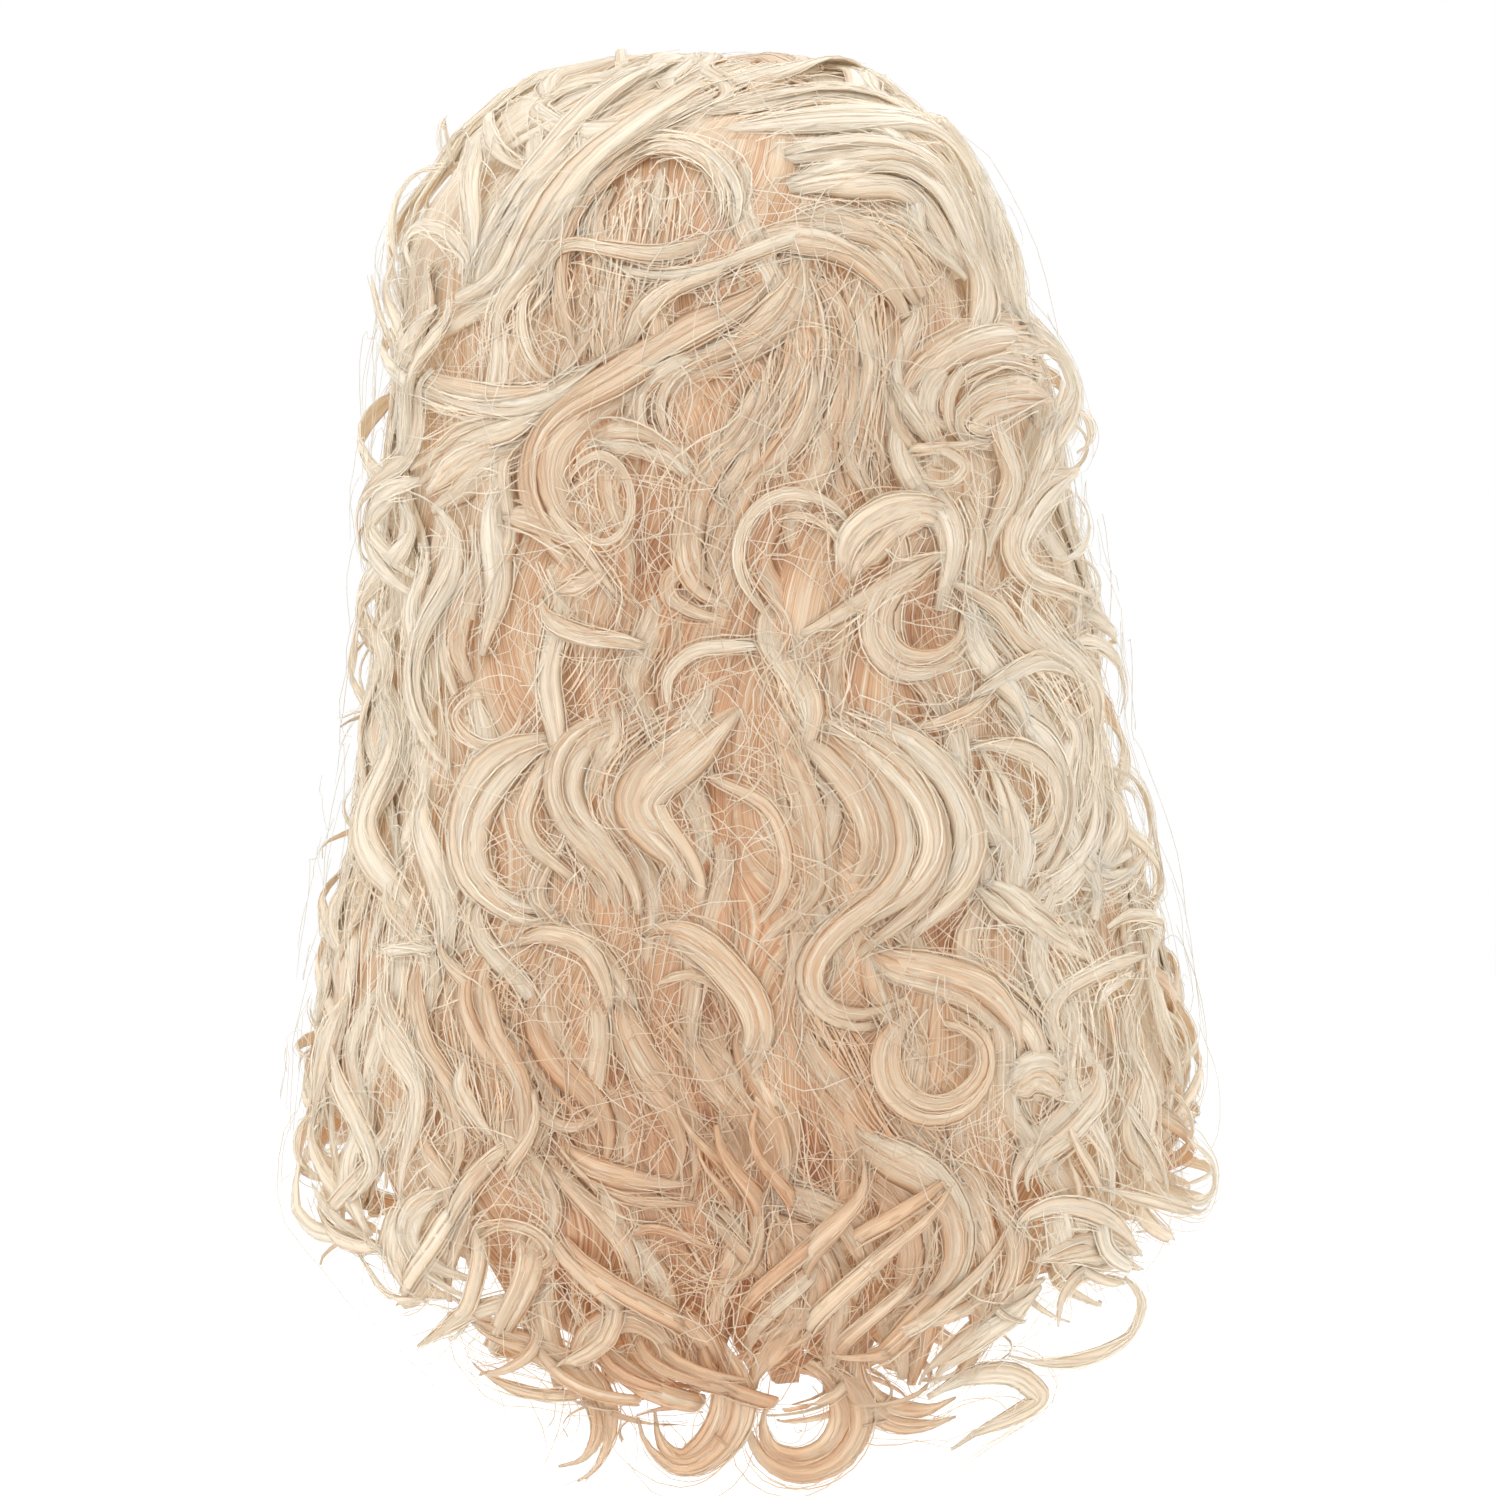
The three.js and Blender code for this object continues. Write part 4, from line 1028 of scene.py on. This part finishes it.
def flyaways():
    """Fine single strands that cross the gaps and stand off the edges."""
    rng = np.random.default_rng(31)
    n = 9
    t = np.linspace(0, 1, n)
    # how many, height over the mass, tone, length, half width, least and most angle round
    jobs = [(1300, (0.3, 3.4), (0.80, 1.05), (35, 95), 0.175, (-80, 80)), (400, (0.3, 4.0), (0.70, 0.95), (40, 110), 0.17, (-FACE_EDGE, FACE_EDGE)),
            (220, (8, 17), (0.75, 0.95), (50, 130), 0.15, (-FACE_EDGE, FACE_EDGE)), (110, (4, 9), (0.70, 0.95), (35, 80), 0.16, (FACE_EDGE, 360 - FACE_EDGE))]
    for count, height, tone, length, r, span in jobs:
        for i in range(count):
            deg = rng.uniform(*span)
            L = rng.uniform(*length)
            if deg > FACE_EDGE:
                node = FRINGE[int(np.clip((deg - FACE_EDGE) / ((360 - 2 * FACE_EDGE) / len(FRINGE)), 0, len(FRINGE) - 1))]
                z0 = 10 - 50 * rng.random()
            else:
                node = LOCKS[int(np.clip((deg + FACE_EDGE) / (2 * FACE_EDGE / len(LOCKS)), 0, len(LOCKS) - 1))]
                z0 = 20 - (20 - TIP_Z[node] - 70) * rng.random() ** 0.8
            rad_here = max(60.0, float(reach(math.radians(deg), max(z0, -500))))
            bend = rng.normal(0, 2.1)
            ang = rng.normal(0, 0.8) + bend * (t - 0.5) + rng.uniform(0.2, 0.8) * np.sin(2 * math.pi * (t * rng.uniform(0.7, 1.5) + rng.random()))
            dx = np.concatenate([[0], np.cumsum(np.sin(ang))[:-1]]) * L / n
            dz = -np.concatenate([[0], np.cumsum(np.cos(ang))[:-1]]) * L / n
            phi = math.radians(deg) + dx / rad_here
            z = np.clip(z0 + dz, -534, 34)
            base = mass(phi, z)[0]
            base = 0.5 * base + 0.5 * base.mean()
            h = base + rng.uniform(*height) + rng.uniform(0, 4) * np.sin(math.pi * t)
            P = at(phi, z, h)
            R = np.full(n, r) * rng.uniform(0.8, 1.3)
            R[-1] *= 0.4
            if z.mean() > -25:
                node = "crown_hair"
            add_tubes(node, P[None], R[None], outward(P)[None], np.array([rng.uniform(*tone)]))


def under_bodies():
    """The soft mass of hair under the locks, one closed body at each node."""
    edges = np.linspace(-FACE_EDGE, FACE_EDGE, len(LOCKS) + 1)
    for i, (node, d0, d1) in enumerate(zip(LOCKS, edges[:-1], edges[1:])):
        core(node, d0 - 0.5, d1 + 0.5, -6, TIP_Z[node] + 46, 21, 8.3, i)
    edges = np.linspace(FACE_EDGE, 360 - FACE_EDGE, len(FRINGE) + 1)
    for i, (node, d0, d1) in enumerate(zip(FRINGE, edges[:-1], edges[1:])):
        core(node, d0 - 0.5, d1 + 0.5, -12, -86, 20, 7.0, 40 + i)
    crown_core()


def add_skin(node, v, tone, across):
    """Rows of rings of points as a closed surface. Each point has a tone and a place across the run of the hair."""
    R, C = v.shape[:2]
    idx = np.arange(R * C).reshape(R, C)
    nxt = np.roll(idx, -1, axis=1)
    q = np.stack([idx[:-1], idx[1:], nxt[1:], nxt[:-1]], -1).reshape(-1, 4)
    c0, c1 = R * C, R * C + 1
    t = np.concatenate([np.stack([idx[0], nxt[0], np.full(C, c0)], -1), np.stack([nxt[-1], idx[-1], np.full(C, c1)], -1)])
    tone = np.concatenate([np.clip(tone + 0.8 * painted_light_grade(v), 0.02, 0.98).ravel(), [0.4, 0.4]])
    across = np.concatenate([across.ravel(), [0.0, 0.0]])
    v = np.concatenate([v.reshape(-1, 3), v[0].mean(0, keepdims=True), v[-1].mean(0, keepdims=True)])
    def uv(f):
        a = across[f]
        a = a - np.floor(a.min(axis=1, keepdims=True) / 60) * 60
        return np.stack([np.minimum(0.505 + 0.44 * a / 60, 0.995), tone[f]], -1)
    buckets[node].add(v, q, t, uv(q), uv(t))


def face_edge(z, side):
    """Angle of the hair's edge beside the face, in degrees, uneven as hair is."""
    return FACE_EDGE - 3.2 * noise2(z / 24 + 60, 0 * z + 4 + side, 43) - 1.4 * noise2(z / 9 + 160, 0 * z + 9 + side, 44)


def core(node, d0, d1, top, low, cols, step, seed):
    s = np.linspace(0, 1, cols)
    phi0 = np.radians(d0 + (d1 - d0) * s)
    ragged = low + (8 if node in FRINGE else 26) * (noise2(np.degrees(phi0) / 5 + 50, 0 * phi0 + seed, 21) - 0.5)
    rows = max(8, int((top - low) / step))
    t = np.linspace(0, 1, rows)[:, None]
    z = top + (ragged[None] - top) * t
    phi = np.repeat(phi0[None], rows, 0)
    if node == LEFT[-1]:
        phi = phi - np.radians(d1 - face_edge(z, 1)) * smooth((s - 0.3) / 0.7)[None]
    if node == RIGHT[0]:
        phi = phi + np.radians(face_edge(z, -1) * -1 - d0) * smooth((0.7 - s) / 0.7)[None]
    lift, tone = mass(phi, z)
    inner = inner_reach(phi, z) + 1.0 + 2.4 * noise2(warp(phi, z) / 9 + 200, z / 40 + 40, 23)
    outer = np.maximum(reach(phi, z) + lift, inner + 2.5)
    close = smooth((1 - t) / 0.12) * 0.85 + 0.15
    outer = inner + (outer - inner) * close + (1 - close) * 6
    o = np.stack([outer * np.sin(phi), outer * np.cos(phi), z], -1)
    pick = np.array([0.998, 0.955, 0.67, 0.33, 0.045, 0.002]) * (cols - 1)
    pick = pick.round().astype(int)
    ri = inner + (1 - close) * 3
    i = np.stack([ri * np.sin(phi), ri * np.cos(phi), z], -1)[:, pick]
    ti = 0.66 + 0.3 * (noise2(np.degrees(phi) / 2 + 70, z / 40 + 30, 22) - 0.5)[:, pick]
    w = warp(phi, z)
    add_skin(node, np.concatenate([o, i], axis=1), np.concatenate([tone, ti], axis=1), np.concatenate([w, w[:, pick]], axis=1))


def crown_core():
    around, rows = 260, 18
    phi = np.linspace(-math.pi, math.pi, around, endpoint=False)[None]
    t = np.linspace(0.06, 1, rows)[:, None]
    z = 35.5 - (35.5 + 24) * t ** 2.2 + 0 * phi
    spin = phi + 0.5 * (1 - t)
    lump = noise2(np.degrees(spin) / 11 + 60, t * 3 + 20, 31) - 0.5
    fine = noise2(np.degrees(spin) / 2.9 + 160, t * 5 + 20, 32) - 0.5
    r = np.minimum(reach(phi, np.minimum(z, 36)) - 7, 200 * t) + (3.0 * lump + 1.6 * fine) * smooth(t / 0.3)
    x, y = to_view(np.stack([r * np.sin(phi), r * np.cos(phi), z], -1))
    dip_and_shade = 0 * r
    for gx, gy, rx, ry, k in SHADED_GAPS[:2]:
        dip_and_shade = np.maximum(dip_and_shade, k * np.exp(-((x - gx) / rx) ** 2 - ((y - gy) / ry) ** 2) * (np.abs(phi) < 1.6))
    r = r - 6 * dip_and_shade - 7 * smooth((t - 0.78) / 0.22)
    r = np.maximum(r, 4 + 20 * t)
    o = np.stack([r * np.sin(phi), r * np.cos(phi), z - 4 * (1 - t)], -1)
    zi = np.minimum(3.0 - (3 + 24) * t ** 2, z - 8)
    ri = np.maximum(head_reach(phi, np.minimum(-0.6, zi - 3)) + 4.0, 3.0)
    ri = np.minimum(ri, r - 2.5 * smooth(t / 0.2))
    i = np.stack([ri * np.sin(phi), ri * np.cos(phi), zi], -1)
    # painted shade: the outer tone is paler where the lumps raise the crown, deeper where they sink and in the sunk
    # gaps
    tone_o = 0.64 + 0.3 * lump + 0.35 * fine
    tone_o = tone_o - 0.34 * dip_and_shade
    loop = np.concatenate([o, i[::-1]], axis=0)
    tone = np.concatenate([np.clip(tone_o, 0.05, 0.9), 0.36 + 0 * i[..., 0]], axis=0)
    across = np.concatenate([np.degrees(spin) * 2.6 + 8 * np.sin(4 * t + 2 * spin), np.degrees(spin)[::-1] * 2.6], axis=0)
    add_skin("crown_hair", loop[:, ::-1], tone[:, ::-1], across[:, ::-1])


# ------------------------------------------------------------------ materials
def hair_material():
    m = bpy.data.materials.new("curled_hair")
    m.use_nodes = True
    nt = m.node_tree
    bsdf = nt.nodes["Principled BSDF"]
    uv = nt.nodes.new("ShaderNodeUVMap"); uv.uv_map = "OFBake"
    sep = nt.nodes.new("ShaderNodeSeparateXYZ")
    nt.links.new(uv.outputs[0], sep.inputs[0])
    ramp = nt.nodes.new("ShaderNodeValToRGB")
    stops = [(0.0, (0.40, 0.165, 0.078)), (0.25, (0.575, 0.302, 0.16)), (0.5, (0.672, 0.44, 0.27)),
             (0.75, (0.75, 0.61, 0.443)), (1.0, (0.865, 0.775, 0.635))]
    e = ramp.color_ramp.elements
    while len(e) < len(stops):
        e.new(0.5)
    for s, (pos, col) in zip(e, stops):
        s.position, s.color = pos, (*col, 1)
    # the run of the hair: along u on locks and strands (u under 0.495), across u on the soft mass
    on_mass = nt.nodes.new("ShaderNodeMath"); on_mass.operation = "GREATER_THAN"
    on_mass.inputs[1].default_value = 0.495
    nt.links.new(sep.outputs["X"], on_mass.inputs[0])
    def scaled(socket, k):
        n = nt.nodes.new("ShaderNodeMath"); n.operation = "MULTIPLY"
        n.inputs[1].default_value = k
        nt.links.new(socket, n.inputs[0])
        return n.outputs[0]
    def pick(a, b):
        n = nt.nodes.new("ShaderNodeMix")
        nt.links.new(on_mass.outputs[0], n.inputs[0])
        nt.links.new(a, n.inputs[2]); nt.links.new(b, n.inputs[3])
        return n.outputs[0]
    stretch = nt.nodes.new("ShaderNodeCombineXYZ")
    nt.links.new(pick(scaled(sep.outputs["X"], 8.0), scaled(sep.outputs["Y"], 3.0)), stretch.inputs[0])
    nt.links.new(pick(scaled(sep.outputs["Y"], 110.0), scaled(sep.outputs["X"], 200.0)), stretch.inputs[1])
    noise = nt.nodes.new("ShaderNodeTexNoise"); noise.inputs["Scale"].default_value = 1.0
    noise.inputs["Detail"].default_value = 4.0
    nt.links.new(stretch.outputs[0], noise.inputs["Vector"])
    shift = nt.nodes.new("ShaderNodeMapRange")
    shift.inputs["From Min"].default_value, shift.inputs["From Max"].default_value = 0.3, 0.7
    shift.inputs["To Min"].default_value, shift.inputs["To Max"].default_value = -0.24, 0.24
    nt.links.new(noise.outputs["Fac"], shift.inputs["Value"])
    add = nt.nodes.new("ShaderNodeMath"); add.operation = "ADD"
    more = nt.nodes.new("ShaderNodeMath"); more.operation = "MULTIPLY_ADD"
    nt.links.new(on_mass.outputs[0], more.inputs[0]); more.inputs[1].default_value = 0.6; more.inputs[2].default_value = 1.0
    streak = nt.nodes.new("ShaderNodeMath"); streak.operation = "MULTIPLY"
    nt.links.new(shift.outputs[0], streak.inputs[0]); nt.links.new(more.outputs[0], streak.inputs[1])
    nt.links.new(sep.outputs["Y"], add.inputs[0]); nt.links.new(streak.outputs[0], add.inputs[1])
    nt.links.new(add.outputs[0], ramp.inputs["Fac"])
    nt.links.new(ramp.outputs["Color"], bsdf.inputs["Base Color"])
    rough = nt.nodes.new("ShaderNodeMapRange")
    rough.inputs["To Min"].default_value, rough.inputs["To Max"].default_value = 0.30, 0.46
    nt.links.new(noise.outputs["Fac"], rough.inputs["Value"])
    nt.links.new(rough.outputs[0], bsdf.inputs["Roughness"])
    bump = nt.nodes.new("ShaderNodeBump"); bump.inputs["Strength"].default_value = 0.4
    bump.inputs["Distance"].default_value = 0.0003
    nt.links.new(noise.outputs["Fac"], bump.inputs["Height"])
    nt.links.new(bump.outputs[0], bsdf.inputs["Normal"])
    bsdf.inputs["Specular IOR Level"].default_value = 0.45
    # light that passes from hair to hair
    bsdf.subsurface_method = "BURLEY"
    bsdf.inputs["Subsurface Weight"].default_value = 0.4
    bsdf.inputs["Subsurface Radius"].default_value = (1.0, 0.78, 0.6)
    bsdf.inputs["Subsurface Scale"].default_value = 0.005
    return m


def plain(name, color, rough):
    m = bpy.data.materials.new(name)
    m.use_nodes = True
    b = m.node_tree.nodes["Principled BSDF"]
    b.inputs["Base Color"].default_value = (*color, 1)
    b.inputs["Roughness"].default_value = rough
    return m


def build_mesh(name, bucket, material):
    v = np.concatenate(bucket.v) / 1000.0
    q, t = np.concatenate(bucket.q), np.concatenate(bucket.t)
    uv = np.concatenate([np.concatenate(bucket.quv).reshape(-1, 2), np.concatenate(bucket.tuv).reshape(-1, 2)])
    me = bpy.data.meshes.new(name)
    me.vertices.add(len(v))
    me.vertices.foreach_set("co", v.astype(np.float32).ravel())
    loops = np.concatenate([q.ravel(), t.ravel()]).astype(np.int32)
    me.loops.add(len(loops))
    me.loops.foreach_set("vertex_index", loops)
    me.polygons.add(len(q) + len(t))
    me.polygons.foreach_set("loop_start", np.concatenate([np.arange(len(q)) * 4, 4 * len(q) + np.arange(len(t)) * 3]).astype(np.int32))
    me.update(calc_edges=True)
    me.polygons.foreach_set("use_smooth", np.concatenate(bucket.soft + [np.ones(len(t), bool)]))
    layer = me.uv_layers.new(name="OFBake")
    layer.data.foreach_set("uv", np.clip(uv, 0.0, 1.0).astype(np.float32).ravel())
    me.materials.append(material)
    me.validate()
    o = bpy.data.objects.new(name, me)
    bpy.context.scene.collection.objects.link(o)
    return o


before = 0
for stage in (under_bodies, inner_waves, face_edge_locks, under_layers, side_waves, edge_loops, fill_locks, crown_locks, charted_locks, combed_strands, fringe_locks, flyaways):
    stage()
    now = sum(b.triangles() for b in buckets.values())
    print("triangles of", stage.__name__, now - before)
    before = now

hair = hair_material()
total = 0
for node, bucket in buckets.items():
    o = build_mesh("hair_" + node, bucket, hair)
    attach(o, "root")
    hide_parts(node)
    n = bucket.triangles()
    total += n
    if n > 120000:
        print("many triangles", node, n)
print("hair triangles", total)


def cap_material():
    """Fine net with rows of sewn wefts, worked out from the place on the cap."""
    m = plain("cap_net", (0.62, 0.46, 0.32), 0.85)
    nt = m.node_tree
    bsdf = nt.nodes["Principled BSDF"]
    place = nt.nodes.new("ShaderNodeTexCoord")
    def bands(scale, axis, warped):
        w = nt.nodes.new("ShaderNodeTexWave")
        w.bands_direction = axis
        w.inputs["Scale"].default_value = scale
        w.inputs["Distortion"].default_value = warped
        w.inputs["Detail"].default_value = 2.0
        w.inputs["Detail Scale"].default_value = 2.0
        nt.links.new(place.outputs["Object"], w.inputs["Vector"])
        return w.outputs["Fac"]
    def maths(op, a, b):
        n = nt.nodes.new("ShaderNodeMath"); n.operation = op
        for k, x in enumerate((a, b)):
            if isinstance(x, (int, float)):
                n.inputs[k].default_value = x
            else:
                nt.links.new(x, n.inputs[k])
        return n.outputs[0]
    weft = maths("POWER", bands(38.0, "Z", 0.3), 3.0)
    net = maths("MAXIMUM", bands(150.0, "X", 0.6), bands(150.0, "DIAGONAL", 0.6))
    height = maths("MAXIMUM", weft, maths("MULTIPLY", net, 0.6))
    ramp = nt.nodes.new("ShaderNodeValToRGB")
    e = ramp.color_ramp.elements
    e[0].position, e[0].color = 0.15, (0.34, 0.23, 0.15, 1)
    e[1].position, e[1].color = 0.9, (0.74, 0.58, 0.42, 1)
    nt.links.new(height, ramp.inputs["Fac"])
    nt.links.new(ramp.outputs["Color"], bsdf.inputs["Base Color"])
    bump = nt.nodes.new("ShaderNodeBump")
    bump.inputs["Strength"].default_value = 0.6
    bump.inputs["Distance"].default_value = 0.001
    nt.links.new(height, bump.inputs["Height"])
    nt.links.new(bump.outputs[0], bsdf.inputs["Normal"])
    return m


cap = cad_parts["wig_cap"]
cap.data.materials.clear()
cap.data.materials.append(cap_material())

# ------------------------------------------------------------------ stage, light and camera
def floor():
    """A plain pale floor a little below the lowest hair."""
    me = bpy.data.meshes.new("floor")
    me.from_pydata([(-9, -9, -0.66), (9, -9, -0.66), (9, 9, -0.66), (-9, 9, -0.66)], [], [(0, 1, 2, 3)])
    o = bpy.data.objects.new("floor", me)
    bpy.context.scene.collection.objects.link(o)
    pale = plain("pale_floor", (0.96, 0.96, 0.96), 0.8)
    pale.node_tree.nodes["Principled BSDF"].inputs["Emission Color"].default_value = (1, 1, 1, 1)
    pale.node_tree.nodes["Principled BSDF"].inputs["Emission Strength"].default_value = 0.06
    me.materials.append(pale)


floor()
world = bpy.data.worlds.new("studio")
bpy.context.scene.world = world
world.use_nodes = True
world.node_tree.nodes["Background"].inputs["Color"].default_value = (1, 1, 1, 1)
world.node_tree.nodes["Background"].inputs["Strength"].default_value = 1.0


def area(name, place, aim, size, power):
    d = bpy.data.lights.new(name, "AREA")
    d.shape, d.size, d.energy = "DISK", size, power
    o = bpy.data.objects.new(name, d)
    o.location = place
    o.rotation_mode = "QUATERNION"
    o.rotation_quaternion = (Vector(aim) - Vector(place)).to_track_quat("-Z", "Y")
    bpy.context.scene.collection.objects.link(o)


area("key", (1.0, 1.7, 1.7), (0, 0.05, -0.05), 1.2, 13)
area("front_key", (-1.0, -1.7, 1.6), (0, -0.05, -0.1), 1.2, 10)
area("top", (0, 0.1, 2.2), (0, 0, -0.2), 1.8, 10)

cam = bpy.data.cameras.new("camera")
cam.sensor_width = 36.0
cam.lens = 18.0 / ((VIEW_SIDE / 2 / PX_PER_MM) / (CAM[1] - PLANE_Y))
cam.clip_start, cam.clip_end = 0.05, 50
co = bpy.data.objects.new("camera", cam)
co.location = tuple(CAM / 1000.0)
co.rotation_euler = (math.pi / 2, 0, math.pi)
bpy.context.scene.collection.objects.link(co)
bpy.context.scene.camera = co
bpy.context.scene.view_settings.view_transform = "Standard"
bpy.context.scene.view_settings.look = "None"
bpy.context.scene.cycles.max_bounces = 3
bpy.context.scene.cycles.diffuse_bounces = 3
bpy.context.scene.cycles.glossy_bounces = 1
bpy.context.scene.cycles.use_light_tree = False
# light that has met hair twice is taken as even, which stands in for light passing through the hair
bpy.context.scene.cycles.use_fast_gi = True
bpy.context.scene.cycles.fast_gi_method = "REPLACE"
bpy.context.scene.cycles.ao_bounces_render = 2
bpy.context.scene.world.light_settings.distance = 0.004
bpy.context.scene.world.light_settings.ao_factor = 1.0
